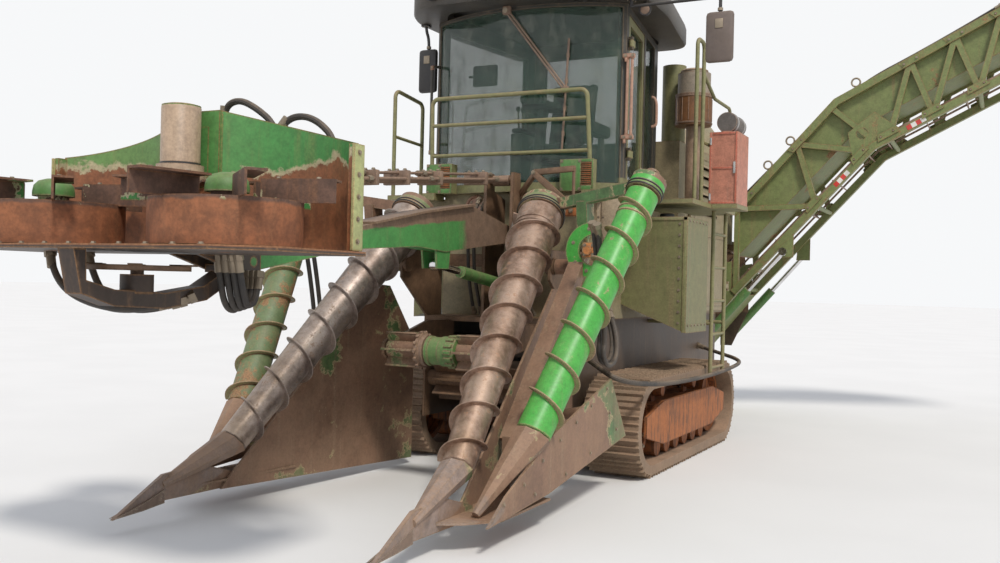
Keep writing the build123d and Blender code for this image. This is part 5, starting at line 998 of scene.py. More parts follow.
class HARVESTER_OT_topper_fittings(bpy.types.Operator):
    """Hood strips, post cover, drum caps, pipes, hoses and bolts of the topper"""
    bl_idname = "harvester.topper_fittings"
    bl_label = "Topper fittings"

    def execute(self, context):
        self.head()
        for side, word in SIDES:
            self.drum_cap(side, word)
        self.pipes()
        routes = dict(HEAD_HOSES)
        for k, x in enumerate((96, 130, 162, 190)):
            routes[f"bundle_hose_{k}"] = (
                (x, -3260 + 12 * k, 1574), (x + 10, -3250 + 14 * k, 1460), (x - 6, -3200 + 18 * k, 1330),
                (x + 4, -3140, 1290 + 12 * k), (x + 12, -3090, 1350), (x - 4, -3075 + 6 * k, 1490))
        for name, route in routes.items():
            hose(name, route, 0.017, "topper_head")
        return {"FINISHED"}

    def head(self):
        """The post's cover and band, edge and seam strips of the hood, and its bolts."""
        piece = Piece()
        post = piece.axis(*POST)
        piece.lathe(collar(0.0965, 0.088, 0.098, 0.108, 0.001), post, 48, 1)
        piece.lathe([(0.0, 0.0), (0.12, 0.0), (0.122, 0.004), (0.114, 0.06), (0.112, 0.0965), (0.0955, 0.0985),
                     (0.0935, 0.104), (0.0935, 0.376), (0.087, 0.386), (0.07, 0.391), (0.0, 0.392)], post, 48)
        piece.bolts([(x, -4060, 1595) for x in range(-750, 751, 150)], (0, 0, 1), 0.011, 3)
        start = math.radians(44)
        x, y = DRUM_X + HOOD_RADIUS * math.cos(start), DRUM_Y + HOOD_RADIUS * math.sin(start)
        for piece.side, _ in SIDES:
            piece.box((x + 20, y - 58, 1598), (x + 34, y + 22, 2078), 0.003, 4)
            piece.bolts([(x + 34, y - 20, z) for z in range(1640, 2060, 100)], (1, 0, 0), 0.009, 3)
            piece.box((144, -3316, 1640), (156, -3306, 2262), 0.002, 2)
            piece.bolts([(132, -3314, z) for z in range(1700, 2260, 90)], (0, -1, 0), 0.008, 3)
        piece.finish("topper_head_trim", ["khaki", "black", "hood", "bolt", "pale_edge"], "topper_head",
                     35)

    def drum_cap(self, side, word):
        """A domed cap with its bolts, and the bolts of the drum's vanes."""
        piece = Piece(side)
        place = piece.axis((DRUM_X, DRUM_Y, 1838), (DRUM_X, DRUM_Y, 1900))
        piece.lathe([(0, 0.085), (0.035, 0.083), (0.07, 0.072), (0.09, 0.05), (0.096, 0.02), (0.096, -0.002),
                     (0, -0.002)], place, 40)
        piece.bolt_circle(place, 0.18, -0.038, 6, 0.012, (0, 0, 1))
        for k in range(6):
            turn = Matrix.Rotation(math.radians(60 * k + 20), 4, "Z")
            for radius in (0.22, 0.4):
                spot = piece.spot((DRUM_X, DRUM_Y, 1900)) + turn @ Vector((radius, 0.03, 0))
                piece.bolt(spot, (0, 0, 1), 0.011)
        piece.finish(f"drum_cap_{word}", ["green", "bolt"], f"gathering_drum_{word}", 35)

    def pipes(self):
        """Steel pipes clipped to the upper link, with couplings."""
        for number, (x, rise, radius) in enumerate(LINK_PIPES):
            route = [on_link(t, x, rise) for t in (0.08, 0.35, 0.7, 0.9)]
            hose(f"link_pipe_{number}", route, radius, "topper_link", "pipe")
        piece = Piece()
        for t in (0.14, 0.36, 0.5, 0.62, 0.86):
            piece.box(on_link(t, -96, -34), on_link(t + 0.012, 96, 64), 0.004)
            piece.bolts([on_link(t + 0.006, x, 66) for x in (-60, 0, 60)], (0, 0, 1), 0.011)
        for t in (0.36, 0.4, 0.64, 0.68):
            for x, rise, _ in LINK_PIPES:
                piece.rod(on_link(t, x, rise), on_link(t + 0.014, x, rise), 0.02, 6, 1)
        piece.finish("link_clips", ["pipe", "bolt"], "topper_link", 35)


# The cab

CAB_FLOOR = 2255
ROOF_CORNERS = ((-800, -100), (800, -100), (1050, 300), (1046, 900), (860, 2080), (-860, 2080), (-1046, 900),
                (-1050, 300))
ROOF_RINGS = ((300, 3790), (290, 3705), (40, 3700), (12, 3706), (0, 3722), (0, 3850), (16, 3890), (60, 3935),
              (140, 3966), (300, 3978))
MIRROR_PAIR = (
    ((1630, 300, 3340), 210, 3, ((930, 300, 3695), (930, 300, 3660), (930, 300, 3640), (960, 300, 3640),
                                 (1600, 300, 3640), (1630, 300, 3640), (1630, 300, 3610), (1630, 300, 3515))),
    ((-985, 450, 3310), 180, 0, ((-985, 400, 3695), (-985, 400, 3650), (-985, 450, 3590), (-985, 450, 3485))),
)


def rounded(corners, radius, steps):
    """A closed line of corners with each corner turned into a short arc."""
    points = []
    for k, corner in enumerate(corners):
        here = Vector(corner)
        before, after = (Vector(corners[(k + shift) % len(corners)]) - here for shift in (-1, 1))
        reach = min(radius, before.length * 0.45, after.length * 0.45)
        start, end = here + before.normalized() * reach, here + after.normalized() * reach
        for step in range(steps + 1):
            t = step / steps
            points.append(start * (1 - t) ** 2 + here * 2 * t * (1 - t) + end * t ** 2)
    return points


class HARVESTER_OT_cab_fittings(bpy.types.Operator):
    """Wipers, grab bars, mirrors, lamps, roof and controls of the cab"""
    bl_idname = "harvester.cab_fittings"
    bl_label = "Cab fittings"

    def execute(self, context):
        self.wipers()
        self.handles()
        self.mirrors()
        self.lamps()
        self.roof()
        self.inside()
        return {"FINISHED"}

    def wipers(self):
        """A twin arm from its motor to the blade, whose rubber stands off the front pane."""
        piece = Piece()
        for near in (-14, 14):
            piece.rod((-60 + near, 128, 3660), (438 + near, 190, 3008), 0.008, 12)
        piece.rod((458, 196, 3410), (421, 190, 2530), 0.009, 12)
        piece.rod((458, 205, 3410), (421, 199, 2530), 0.0055, 8, 1)
        piece.box((-95, 100, 3630), (-25, 145, 3699.7), 0.012)
        piece.rod((-60, 100, 3660), (-60, 88, 3660), 0.022, 24, 2)
        piece.box((408, 178, 2983), (468, 200, 3033), 0.006)
        piece.rod((438, 178, 3008), (438, 170, 3008), 0.012, 6, 2)
        for t in (0.15, 0.38, 0.62, 0.85):
            x, z = 458 - 37 * t, 3410 - 880 * t
            piece.box((x - 12, 187, z - 18), (x + 12, 206, z + 18), 0.003)
        piece.finish("wiper_arm", ["pipe", "rubber", "bolt"], "machine", 40, ("wiper",))

    def handles(self):
        """The twin grab bar at the left front post, clamps of the right one, and the door's handle."""
        piece = Piece()
        for z in (3290, 2650):
            piece.box((843, 370, z - 27), (937, 414, z + 7), 0.006)
            piece.bolts([(x, 371, z - 10) for x in (868, 925)], (0, -1, 0), 0.010)
            piece.box((862, 364, z - 60), (884, 376, z - 24), 0.003)
        for x in (880, 918):
            piece.rod((x, 388, 3290), (x, 388, 2650), 0.0115, 16)
            for z in (3262, 2660):
                piece.lathe(band(0.017, 0.009, 0, 0.006, 0.002), piece.axis((x, 388, z), (x, 388, z + 10)), 20)
        piece.finish("grab_bar_left", ["worn_tan", "bolt"], "machine", 40)
        piece = Piece()
        for z in (2575, 3300):
            piece.box((-872, 296, z - 18), (-846, 322, z + 18), 0.004)
            piece.bolts([(-859, 296, z)], (0, -1, 0), 0.008)
        piece.finish("grab_bar_clamps", ["worn_tan", "bolt"], "machine", 40)
        bend = ((852, 1085, 2830), (890, 1092, 2830), (892, 1094, 2900), (890, 1092, 3080), (850, 1085, 3080))
        hose("door_handle", bend, 0.012, "cab_door", "worn_tan", fittings=None)

    def mirrors(self):
        """Both mirrors with bent arms; the left one stands wide of the cab."""
        piece = Piece()
        for (x, y, z), width, skin, arm in MIRROR_PAIR:
            half = width / 2
            piece.box((x - half, y - 30, z - 190), (x + half, y + 30, z + 190), 0.029, skin)
            piece.box((x - half + 16, y + 27, z - 172), (x + half - 16, y + 31, z + 172), 0.002, 1)
            piece.tube([piece.spot(point) for point in arm], 0.013)
            foot_x, foot_y, _ = arm[0]
            piece.box((foot_x - 35, foot_y - 35, 3684.7), (foot_x + 35, foot_y + 35, 3699.7), 0.005)
            piece.bolts([(foot_x + dx, foot_y + dy, 3685) for dx in (-22, 22) for dy in (-22, 22)], (0, 0, -1),
                        0.006, 2)
            piece.rod((x, y, z + 196), (x, y, z + 216), 0.02, 20, 2)
            piece.box((x - 30, y - 36, z + 60), (x + 30, y - 28, z + 130), 0.004, 2)
        piece.finish("mirror_pair", ["black", "mirror", "bolt", "taupe"], "machine", 40, ("mirrors",))

    def lamps(self):
        """Work lamps in the roof's brow and a small round one under its left corner."""
        piece = Piece()
        for x in (-620, -230, 230, 620):
            place = piece.axis((x, -140, 3800), (x, -150, 3800))
            piece.lathe([(0, -0.01), (0.066, -0.01), (0.068, 0.0), (0.066, 0.014), (0.058, 0.016), (0.056, 0.006),
                         (0, 0.006)], place, 40)
            piece.lathe([(0, 0.0065), (0.055, 0.0065), (0.05, 0.01), (0.03, 0.014), (0, 0.016)], place, 40, 1)
        place = piece.axis((1000, 430, 3640), (1010, 380, 3636))
        piece.lathe([(0, -0.03), (0.03, -0.026), (0.046, -0.008), (0.05, 0.024), (0.046, 0.028), (0.043, 0.022),
                     (0, 0.022)], place, 32)
        piece.lathe([(0, 0.0225), (0.036, 0.0225), (0.026, 0.026), (0, 0.028)], place, 32, 2)
        piece.box((988, 425, 3660), (1012, 445, 3699.7), 0.003)
        piece.finish("roof_lamps", ["black", "lens", "pipe"], "machine", 40)

    def roof(self):
        """The moulded roof: rounded corners, a rolled rim and a crown, hollow under its ceiling."""
        piece = Piece()
        middle = Vector((0, 960))
        plan = [point - middle for point in rounded(ROOF_CORNERS, 190, 7)]
        rows = [[piece.bm.verts.new(mm(*(middle + way * (1 - inset / way.length)), z)) for way in plan]
                for inset, z in ROOF_RINGS]
        for one, two in zip(rows, rows[1:]):
            for k in range(len(plan)):
                piece.bm.faces.new((one[k - 1], one[k], two[k], two[k - 1]))
        piece.bm.faces.new(rows[-1])
        piece.bm.faces.new(rows[0][::-1])
        bmesh.ops.recalc_face_normals(piece.bm, faces=piece.bm.faces[:])
        for x in (-520, 0, 520):
            piece.bar((x, 250, 3981), (x, 1800, 3981), 0.03, 0.006)
        piece.finish("roof_moulding", ["roof"], "machine", 38, ("cab_roof",))

    def inside(self):
        """The console with its levers, a screen and the dash behind the wheel."""
        piece = Piece()
        floor = CAB_FLOOR
        piece.box((-420, 950, floor), (-300, 1350, floor + 560), 0.02)
        piece.box((-400, 930, floor + 560), (-300, 1300, floor + 600), 0.015)
        for x, y in ((-360, 1000), (-340, 1060), (330, 960)):
            piece.rod((x, y, floor + 600), (x, y - 20, floor + 760), 0.008, 10, 1)
            knob = [(0, 0.05), (0.014, 0.048), (0.022, 0.03), (0.02, 0.01), (0.008, 0.0), (0, 0.0)]
            piece.lathe(knob, piece.axis((x, y - 20, floor + 750), (x, y - 22, floor + 800)), 16)
        piece.box((-560, 480, 3150), (-330, 520, 3330), 0.015)
        piece.rod((-600, 500, 3240), (-560, 500, 3240), 0.012, 10)
        piece.box((-180, 690, floor + 700), (180, 860, floor + 760), 0.02)
        piece.finish("cab_controls", ["black", "bolt"], "machine", 40)


# The operator's seat

SEAT_Y = 1150
PUFF = 0.014


def applied(piece):
    """Turns a piece's modifiers into its mesh."""
    graph = bpy.context.evaluated_depsgraph_get()
    mesh = bpy.data.meshes.new_from_object(piece.evaluated_get(graph))
    piece.modifiers.clear()
    piece.data = mesh


def puff(piece):
    """Blows a closed piece up a little, as cloth under pressure."""
    cloth = piece.modifiers.new("cloth", "CLOTH")
    cloth.settings.use_pressure = True
    cloth.settings.uniform_pressure_force = 4.0
    cloth.settings.effector_weights.gravity = 0.0
    cloth.settings.quality = 4
    before = [vert.co.copy() for vert in piece.data.vertices]
    for step in range(1, 19):
        bpy.context.scene.frame_set(step)
    applied(piece)
    for vert, old in zip(piece.data.vertices, before):
        move = vert.co - old
        if move.length > PUFF:
            vert.co = old + move.normalized() * PUFF
    bpy.context.scene.frame_set(1)


def upholster(name, low, high, lean, seams):
    """A sewn cushion: a padded box puffed by cloth pressure, then pulled in along its seams."""
    low, high = mm(*low), mm(*high)
    turn = Matrix.Rotation(lean, 4, "X")
    made = Piece()
    made.block(low, high, 0.03, turn=turn)
    piece = made.finish(name, ["fabric"], "machine", 60)
    remesh = piece.modifiers.new("remesh", "REMESH")
    remesh.mode = "VOXEL"
    remesh.voxel_size = 0.011
    applied(piece)
    puff(piece)
    middle = (low + high) / 2
    for vert in piece.data.vertices:
        across = (turn.inverted() @ (vert.co - middle)).x
        for seam in seams:
            vert.co -= (vert.co - middle) * 0.05 * math.exp(-((across - seam) / 0.012) ** 2)
    smooth = piece.modifiers.new("smooth", "SUBSURF")
    smooth.levels = smooth.render_levels = 1
    for polygon in piece.data.polygons:
        polygon.use_smooth = True


class HARVESTER_OT_seat(bpy.types.Operator):
    """The operator's seat: cushion, back, base and arm rest"""
    bl_idname = "harvester.seat"
    bl_label = "Seat"

    def execute(self, context):
        floor, y = CAB_FLOOR, SEAT_Y
        upholster("seat_cushion", (-245, y - 245, floor + 345), (245, y + 235, floor + 438), 0.0, (-0.15, 0.15))
        upholster("seat_back", (-225, y + 205, floor + 470), (225, y + 285, floor + 1060), math.radians(-9.5),
                  (-0.14, 0.14))
        piece = Piece()
        piece.box((-150, y - 150, floor), (150, y + 200, floor + 60), 0.01)
        for k in range(5):
            low, high = floor + 60 + 52 * k, floor + 60 + 52 * (k + 1)
            piece.box((-140, y - 140, low + 4), (140, y + 190, high - 4), 0.018, 1)
        piece.box((-230, y - 230, floor + 322), (230, y + 225, floor + 342), 0.008)
        piece.box((262, y - 245, floor + 525), (395, y + 195, floor + 635), 0.03)
        piece.rod((330, y + 110, floor), (330, y + 110, floor + 530), 0.028, 16)
        piece.box((-60, y + 225, floor + 380), (60, y + 250, floor + 560), 0.006)
        base = piece.finish("seat_base", ["black", "rubber"], "machine", 40)
        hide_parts("operator_seat")
        return {"FINISHED"}


# Front of the machine under the cab

BRACKET = (1010, -600, 1715)
BRACKET_RADII = (191.5, 106.5)
KNOCKDOWN = ((-400, -930, 980), (400, -930, 980))
SCREW_HOSE = ((1200, -987, 1863), (1200, -927, 1768), (1196, -774, 1109), (1196, -822, 1012), (1196, -724, 920),
              (1190, -535, 962), (1160, -470, 1167), (1060, -380, 1300))
TRACK_HOSE = ((700, -150, 1000), (1000, -420, 900), (1230, -582, 818), (1250, 254, 731), (1250, 1351, 704),
              (1250, 2011, 710), (1250, 2767, 737), (1150, 3100, 760), (900, 3300, 800), (640, 3420, 860))


def add_ribbon(bm, outer, inner, depth):
    """A plate between two lines of points, as deep as given along y."""
    rows = [[bm.verts.new(point + Vector((0, shift, 0))) for point in line]
            for line, shift in ((outer, 0), (inner, 0), (inner, depth), (outer, depth))]
    faces = [bm.faces.new([row[end] for row in rows]) for end in (0, -1)]
    for k in range(len(outer) - 1):
        for one, two in zip(rows, rows[1:] + rows[:1]):
            faces.append(bm.faces.new((one[k], one[k + 1], two[k + 1], two[k])))
    bmesh.ops.recalc_face_normals(bm, faces=faces)


class HARVESTER_OT_front_fittings(bpy.types.Operator):
    """Vent covers, brackets, knockdown roller, tan sheets, hoses and their guide"""
    bl_idname = "harvester.front_fittings"
    bl_label = "Front fittings"

    def execute(self, context):
        self.vent_covers()
        self.brackets()
        self.knockdown()
        self.deck_cover()
        self.tan_panels()
        self.hoses()
        self.hose_guide()
        return {"FINISHED"}

    def vent_covers(self):
        """Slotted covers bolted over the boxes under the guard rail."""
        piece = Piece()
        low, high = 2203, 2452
        for x0, x1 in ((-790, -550), (430, 710)):
            left, right = x1 - 104, x1 - 16
            piece.boxes((((x0 - 2, 145, low), (left, 151, high)), ((right, 145, low), (x1 + 2, 151, high)),
                         ((left, 145, low), (right, 151, low + 44)), ((left, 145, high - 26), (right, 151, high))),
                        0.002)
            for z in range(2250, 2425, 15):
                slat = ((left, 151, z + 8), (right, 151, z + 8), (right, 143, z), (left, 143, z))
                piece.plate([piece.spot(point) for point in slat], 0.002, 1)
            piece.bolts([(x, 145, z) for x in (x0 + 14, x1 - 116) for z in (low + 16, high - 16)], (0, -1, 0),
                        0.008, 2)
        piece.finish("vent_covers", ["green", "orange_rust", "bolt"], "machine", 40)

    def brackets(self):
        """The curved plate that carries the screw's motor, on each divider."""
        x, y, z = BRACKET
        outer, inner = BRACKET_RADII
        for side, word in SIDES:
            piece = Piece(side)

            def arc(radius, shift, degrees):
                return [(x + shift + radius * math.cos(a), y - 2, z + radius * math.sin(a))
                        for a in map(math.radians, degrees)]

            rim, bore = ([piece.spot(point) for point in arc(radius, shift, range(75, 283, 13))]
                         for radius, shift in ((outer, 0), (inner, 12)))
            add_ribbon(piece.bm, rim, bore, 0.020)
            piece.box((x - 54, y - 42, z - 57), (x + 50, y + 28, z + 52), 0.01, 1)
            piece.rod((x - 10, y - 42, z - 5), (x - 10, y - 62, z - 5), 0.03, 24, 1)
            corners = [(x + dx, y - 42, z + dz) for dx in (-34, 26) for dz in (-34, 32)]
            piece.bolts(corners + arc((outer + inner) / 2, 4, (100, 160, 215, 255)), (0, -1, 0), 0.009, 2)
            piece.finish(f"screw_bracket_{word}", ["bright_green", "orange", "bolt"], f"divider_{word}",
                         35)

    def knockdown(self):
        """The knockdown roller: paddles on a tube, a green motor and a toothed hub at its middle."""
        piece = Piece()
        place = piece.axis(*KNOCKDOWN)
        piece.lathe([(0, 0), (0.066, 0), (0.07, 0.004), (0.07, 0.796), (0.066, 0.8), (0, 0.8)], place, 40)
        for k in range(6):
            turn = place @ Matrix.Rotation(FULL_TURN * k / 6, 4, "Z")
            for start, end in ((0.002, 0.258), (0.585, 0.798)):
                piece.block((0.06, -0.005, start), (0.139, 0.005, end), 0.003, place=turn)
                piece.block((0.126, -0.011, start), (0.1395, 0.005, end), 0.002, place=turn)
        piece.lathe([(0.06, 0.33), (0.1, 0.33), (0.106, 0.336), (0.106, 0.36), (0.098, 0.365), (0.098, 0.44),
                     (0.106, 0.446), (0.106, 0.54), (0.1, 0.57), (0.082, 0.578), (0.06, 0.578)], place, 48, 1)
        piece.lathe([(0.06, 0.262), (0.118, 0.262), (0.124, 0.268), (0.124, 0.29), (0.112, 0.296), (0.112, 0.325),
                     (0.06, 0.33)], place, 48, 2)
        for k in range(14):
            turn = place @ Matrix.Rotation(FULL_TURN * k / 14, 4, "Z")
            piece.block((0.11, -0.012, 0.264), (0.139, 0.012, 0.288), 0.003, 2, place=turn)
            piece.block((0.098, -0.012, 0.5), (0.118, 0.012, 0.56), 0.003, 1, place=turn)
        piece.bolt_circle(place, 0.088, 0.262, 8, 0.010, (-1, 0, 0), index=3)
        piece.finish("knockdown_paddles", ["divider", "green", "pipe", "bolt"], "knockdown_roller", 40,
                     ("knockdown_roller",))

    def deck_cover(self):
        """The orange cover on the wall beside the topper's link."""
        piece = Piece()
        place = piece.axis((-386, 299, 2105), (-386, 200, 2125))
        piece.lathe([(0, -0.01), (0.09, -0.01), (0.094, -0.004), (0.094, 0.03), (0.088, 0.036), (0.07, 0.038),
                     (0.066, 0.03), (0.03, 0.028), (0.0, 0.03)], place, 48)
        piece.bolt_circle(place, 0.05, 0.029, 5, 0.007, (0, -1, 0.2))
        piece.finish("deck_cover", ["worn_tan", "bolt"], "machine", 40)

    def tan_panels(self):
        """Folded tan sheets bolted to the wall under the cab's left front corner."""
        piece = Piece()
        z0, z1 = 1829, 2190
        for x0, x1 in ((563, 720), (726, 885)):
            piece.box((x0, 293, z0), (x1, 301, z1), 0.003)
            piece.bolts([(x, 293, z) for x in (x0 + 16, x1 - 16) for z in (z0 + 16, (z0 + z1) / 2, z1 - 16)],
                        (0, -1, 0), 0.007)
        piece.finish("tan_panels", ["tan", "bolt"], "machine", 40)

    def hoses(self):
        twin = [(x - 42, y + 24, z + 14) for x, y, z in SCREW_HOSE]
        for number, route in enumerate((SCREW_HOSE, twin)):
            for side, word in SIDES:
                hose(f"screw_hose_{word}_{number}", route, 0.017, f"divider_{word}", side=side)
        hose("track_hose", TRACK_HOSE, 0.019, "machine")
        for k, (x, y) in enumerate(((-240, 70), (-190, 90), (190, 90), (240, 70))):
            hose(f"tower_hose_{k}", ((x, y, 2140), (x * 0.9, y - 120, 2040), (x * 0.8, y - 260, 1850),
                                     (x * 0.8, y - 250, 1600), (x, y - 120, 1400), (x * 1.1, y, 1230)),
                 0.014, "machine")

    def hose_guide(self):
        """The folded strut that guides the topper's hoses to the cab."""
        piece = Piece()
        piece.bar((310, -70, 2330), (650, -70, 2350), 0.035, 0.045)
        piece.bar((310, -70, 2325), (600, -70, 2080), 0.04, 0.05)
        piece.rod((640, -70, 2350), (640, -70, 2010), 0.012, 12)
        piece.box((560, -110, 1990), (690, -30, 2090), 0.008, 1)
        piece.bar((600, -70, 2060), (600, 335, 2060), 0.04, 0.05)
        piece.bar((320, -70, 2325), (135, 60, 2180), 0.03, 0.04)
        piece.bolts(((310, -90, 2328), (600, -112, 2060), (640, -112, 2030)), (0, -1, 0), 0.013, 2)
        piece.finish("hose_guide", ["frame", "orange_rust", "bolt"], "machine", 35)


class HARVESTER_OT_track_fittings(bpy.types.Operator):
    """Bolts on both track frames"""
    bl_idname = "harvester.track_fittings"
    bl_label = "Track fittings"

    def execute(self, context):
        for side, word in SIDES:
            piece = Piece(side)
            for z, size in ((330, 0.020), (230, 0.014)):
                piece.bolts([(1066, y, z) for y in range(420, 2461, 340)], (1, 0, 0), size)
            piece.finish(f"track_frame_bolts_{word}", ["orange_rust", "bolt"], "machine", 35)
        return {"FINISHED"}


# Sheet metal of the sides, engine and extractor

DUCT_AXIS = ((0, 4700, 2450), (0, 4700, 2600))
CLEANER_AXIS = ((960, 1960, 2960), (960, 1960, 3470))


class HARVESTER_OT_panel_fittings(bpy.types.Operator):
    """Latches, hinges, grilles, seams and bolts on the housings and tanks"""
    bl_idname = "harvester.panel_fittings"
    bl_label = "Panel fittings"

    def execute(self, context):
        self.tank_trim()
        for side, word in SIDES:
            self.engine_door(side, word)
        self.duct_bands()
        self.locker()
        self.cleaner()
        return {"FINISHED"}

    def tank_trim(self):
        """Seams and bolts of both tanks, and the left one's filler cap."""
        piece = Piece()
        piece.bolts([(1185, 879, z) for z in range(1180, 2010, 90)], (0, -1, 0), 0.009)
        piece.bolts([(1250, y, z) for y in range(940, 1480, 100) for z in (1160, 2020)], (1, 0, 0), 0.009)
        piece.boxes((((1216, 872, 1104), (1254, 882, 2048)), ((700, 872, 2020), (1250, 882, 2048))), 0.003)
        piece.lathe([(0, 0.05), (0.05, 0.05), (0.062, 0.04), (0.062, 0.012), (0.075, 0.01), (0.075, 0), (0, 0)],
                    piece.axis((980, 1180, 2048), (980, 1180, 2100)), 32, 2)
        piece.bolts([(-1230, y, z) for y in range(760, 1880, 140) for z in (1200, 2020)], (-1, 0, 0), 0.009)
        piece.finish("tank_trim", ["olive", "bolt", "black"], "machine", 35)

    def engine_door(self, side, word):
        """Ribs, hinges, latches, louvres and edge bolts of one engine door."""
        piece = Piece(side)
        x = 846
        piece.boxes([((x, 2400, z - 12), (x + 5, 3640, z + 12)) for z in (1300, 2000, 2760)], 0.002)
        for z in (1500, 2600):
            piece.box((x, 2385, z - 50), (x + 22, 2425, z + 50), 0.008, 1)
            piece.rod((x + 22, 2405, z), (x + 34, 2405, z), 0.016, 20, 2)
        for z in range(2210, 2700, 90):
            louvre = ((x, 2600, z + 36), (x, 3285, z + 36), (x + 20, 3285, z + 8), (x + 20, 2600, z + 8))
            piece.plate([piece.spot(point) for point in louvre], 0.003, turned=side < 0)
        piece.bolts([(x, y, z) for y in (2450, 3620) for z in range(1320, 2780, 120)], (1, 0, 0), 0.007, 2)
        piece.finish(f"engine_door_trim_{word}", ["housing", "black", "bolt"], f"engine_door_{word}",
                     35)

    def duct_bands(self):
        piece = Piece()
        base = piece.axis(*DUCT_AXIS)
        for height in (0.03, 0.125):
            piece.lathe(band(0.652, 0.638, height, 0.012, 0.003), base, 72)
        piece.bolt_circle(base, 0.651, 0.078, 24, 0.010)
        piece.finish("duct_bands", ["housing", "bolt"], "machine", 40)

    def locker(self):
        """Door frame, latch and hinges of the red locker, and the bands of the canister on it."""
        piece = Piece()
        (x0, y0, z0), (x1, z1) = (1250, 1480, 2200), (1495, 2820)
        piece.boxes([((x, y0 - 9, z0), (x + 22, y0 + 1, z1)) for x in (x0, x1 - 22)], 0.003)
        piece.boxes([((x0 + 22, y0 - 8, z), (x1 - 22, y0 + 1, z + 22)) for z in (z0, z1 - 22, 2500)], 0.003)
        piece.box((1460, 1462, 2460), (1480, 1474, 2560), 0.004, 1)
        for z in (2260, 2740):
            piece.rod((1262, 1470, z - 30), (1262, 1470, z + 30), 0.009, 12, 1)
        for y in (1560, 1780):
            place = piece.axis((1390, y, 2905), (1390, y + 1, 2905))
            piece.lathe(band(0.092, 0.085, 0, 0.014, 0.002), place, 40, 1)
        piece.box((1330, 1540, 2820), (1450, 1800, 2835), 0.003, 1)
        piece.finish("locker_trim", ["red", "canister"], "machine", 40)

    def cleaner(self):
        """Bands, guard wires and the cap of the air cleaner."""
        piece = Piece()
        place = piece.axis(*CLEANER_AXIS)
        for height in (0.02, 0.262, 0.278):
            piece.lathe(band(0.171, 0.16, height, 0.008, 0.002), place, 48)
        for k in range(16):
            turn = place @ Matrix.Rotation(FULL_TURN * k / 16, 4, "Z")
            piece.cone(turn @ Vector((0.166, 0, 0.04)), turn @ Vector((0.166, 0, 0.245)), 0.004, 0.004, 6, 0)
        piece.lathe([(0, 0.53), (0.06, 0.528), (0.105, 0.52), (0.125, 0.508), (0.125, 0.5), (0, 0.5)], place, 40, 1)
        piece.finish("cleaner_trim", ["pipe", "khaki"], "machine", 40)


# The elevator

FOOT = (0.750, 1.430)
SLEW_AXIS_Y = 4.95
LOWER_ANGLE, UPPER_ANGLE = math.radians(47.6), math.radians(27.7)
LOWER_LENGTH = 2.2
LOW_JOINTS = [("lower", 1.335), ("lower", 2.04)] + [("upper", 0.186 + 0.49 * k) for k in range(6)]
TOP_JOINTS = [("lower", 0.9), ("lower", 1.7)] + [("upper", 0.734 + 0.49 * k) for k in range(5)]
HOSE_SPOTS = (("lower", 0.75, 0.72), ("lower", 1.4, 0.7), ("upper", 0.1, 0.72), ("upper", 1.0, 0.695),
              ("upper", 1.75, 0.72))


def on_elevator(section, along, up, across):
    """A point on the elevator: along a section's bottom chord, square above it, and across it (metres)."""
    u, z = FOOT
    angle = LOWER_ANGLE
    if section == "upper":
        u, z = u + math.cos(angle) * LOWER_LENGTH, z + math.sin(angle) * LOWER_LENGTH
        angle = UPPER_ANGLE
    return at(u + math.cos(angle) * along - math.sin(angle) * up, SLEW_AXIS_Y + across,
              z + math.sin(angle) * along + math.cos(angle) * up)


class HARVESTER_OT_elevator_fittings(bpy.types.Operator):
    """Gussets, lifting rings, reflector strips and hoses of the elevator"""
    bl_idname = "harvester.elevator_fittings"
    bl_label = "Elevator fittings"

    def execute(self, context):
        piece = Piece()
        for side in (-1, 1):
            for up, joints in ((0.045, LOW_JOINTS), (0.625, TOP_JOINTS)):
                for section, along in joints:
                    self.gusset(piece, section, along, up, side)
            for section, along in (("lower", 1.32), ("lower", 1.68), ("upper", 0.16)):
                self.ring(piece, on_elevator(section, along, 0.72, side * 0.49))
        piece.finish("truss_gussets", ["truss", "bolt"], "elevator", 35)
        self.reflectors()
        for number, across in enumerate((-0.36, -0.3)):
            piece = Piece()
            piece.tube([on_elevator(*spot, across) for spot in HOSE_SPOTS], 0.014, 1)
            piece.finish(f"elevator_hose_{number}", ["rubber", "bolt"], "elevator", smooth=35)
        return {"FINISHED"}

    def gusset(self, piece, section, along, up, side):
        """A plate over a joint of the truss, wide toward the chord."""
        corners = [(-0.12, -0.035), (0.12, -0.035), (0.09, 0.035), (-0.09, 0.035)]
        if up > 0.3:
            corners = [(a, -b) for a, b in corners][::-1]
        outline = [on_elevator(section, along + a, up + b, side * 0.534) for a, b in corners]
        piece.plate(outline, 0.010, turned=side > 0)
        for a in (-0.07, 0.07):
            piece.bolt(on_elevator(section, along + a, up, side * 0.542), (0, side, 0), 0.010)

    def ring(self, piece, centre):
        """A lifting eye standing on the top chord."""
        upright = Matrix.Rotation(math.pi / 2, 4, "X")
        made = bmesh.ops.create_circle(piece.bm, segments=10, radius=0.010)["verts"]
        bmesh.ops.transform(piece.bm, matrix=Matrix.Translation((0.045, 0, 0)) @ upright, verts=made)
        piece.spin(made + edges_of(made))
        piece.close(made, Matrix.Translation(centre) @ upright, 1)

    def reflectors(self):
        """Red and white squares in a row on the bottom chords."""
        piece = Piece()
        step, half = 0.052, 0.025
        for side in (-1, 1):
            for section, first in (("lower", 1.63), ("upper", 0.384)):
                for k in range(4):
                    start = first + step * k
                    corners = ((start, -half), (start + step, -half), (start + step, half), (start, half))
                    outline = [on_elevator(section, along, up, side * 0.5305) for along, up in corners]
                    piece.plate(outline, 0.002, k % 2, side > 0)
        piece.finish("reflector_strips", ["reflector_red", "reflector_white"], "elevator")


# Finishes of the CAD nodes

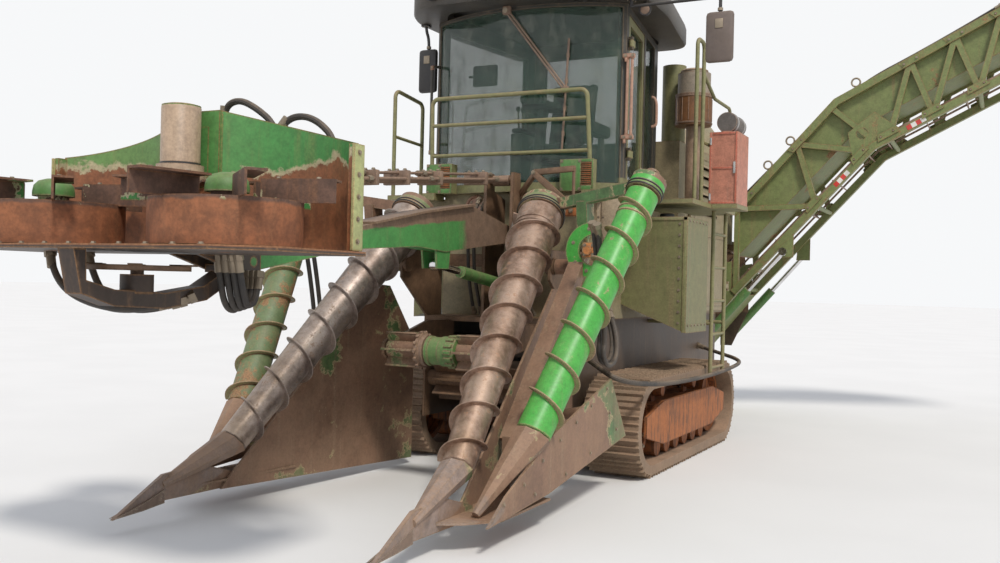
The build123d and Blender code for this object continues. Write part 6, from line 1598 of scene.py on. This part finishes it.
NODE_FINISHES = {
    "track": "track_left track_right",
    "orange_rust": "track_frames",
    "frame": "main_frame slew_table base_cutter_left base_cutter_right fin_roller butt_roller knockdown_roller "
             "topper_knife",
    "divider": "divider_left divider_right",
    "olive": "front_rail platforms cab_door muffler",
    "dark_shell": "cab_shell",
    "cleaner": "air_cleaner",
    "housing": "cab_base engine_housing engine_door_left engine_door_right extractor_duct extractor_hood",
    "truss": "elevator_truss elevator_bowl second_duct second_hood bin_flap",
    "screw_steel": "extractor_fan second_fan slat_chain inner_screw_left inner_screw_right outer_screw_right",
    "bright_green": "outer_screw_left",
    "green": "topper_lift_barrel elevator_ram_barrels",
    "arm": "topper_arm",
    "hood": "topper_head",
    "pipe": "topper_link wiper",
    "rust": "gathering_drum_left gathering_drum_right",
    "roof": "cab_roof",
    "black": "steering mirrors",
    "glass": "cab_glass door_glass",
    "fabric": "operator_seat",
    "locker": "red_locker",
    "tank": "side_tanks",
    "iron": "engine",
    "chrome": "topper_lift_rod elevator_ram_rods",
}


class HARVESTER_OT_finishes(bpy.types.Operator):
    """Builds the materials and gives each CAD node its own"""
    bl_idname = "harvester.finishes"
    bl_label = "Finishes"

    def execute(self, context):
        build_materials(context.scene.harvester_colours)
        for key, nodes in NODE_FINISHES.items():
            for node in nodes.split():
                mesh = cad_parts[node].data
                mesh.materials.clear()
                mesh.materials.append(MATERIALS[key])
        return {"FINISHED"}


OPERATORS = [HARVESTER_OT_stage, HARVESTER_OT_finishes, HARVESTER_OT_screws, HARVESTER_OT_divider_fittings,
             HARVESTER_OT_topper_fittings, HARVESTER_OT_cab_fittings, HARVESTER_OT_seat, HARVESTER_OT_front_fittings,
             HARVESTER_OT_track_fittings, HARVESTER_OT_panel_fittings, HARVESTER_OT_elevator_fittings]


class HARVESTER_PT_panel(bpy.types.Panel):
    """Lists the harvester's pieces"""
    bl_label = "Sugarcane Harvester"
    bl_space_type = "VIEW_3D"
    bl_region_type = "UI"
    bl_category = "Harvester"

    def draw(self, context):
        for operator in OPERATORS:
            self.layout.operator(operator.bl_idname)


SETTINGS = {"harvester_stage": HarvesterStage, "harvester_colours": HarvesterColours,
            "harvester_screws": HarvesterScrews}
CLASSES = [*SETTINGS.values(), *OPERATORS, HARVESTER_PT_panel]


def register():
    for item in CLASSES:
        bpy.utils.register_class(item)
    for name, group_type in SETTINGS.items():
        setattr(bpy.types.Scene, name, bpy.props.PointerProperty(type=group_type))


def unregister():
    for name in SETTINGS:
        delattr(bpy.types.Scene, name)
    for item in reversed(CLASSES):
        bpy.utils.unregister_class(item)


def main():
    register()
    for operator in OPERATORS:
        area, name = operator.bl_idname.split(".")
        getattr(getattr(bpy.ops, area), name)()


if __name__ == "__main__":
    main()
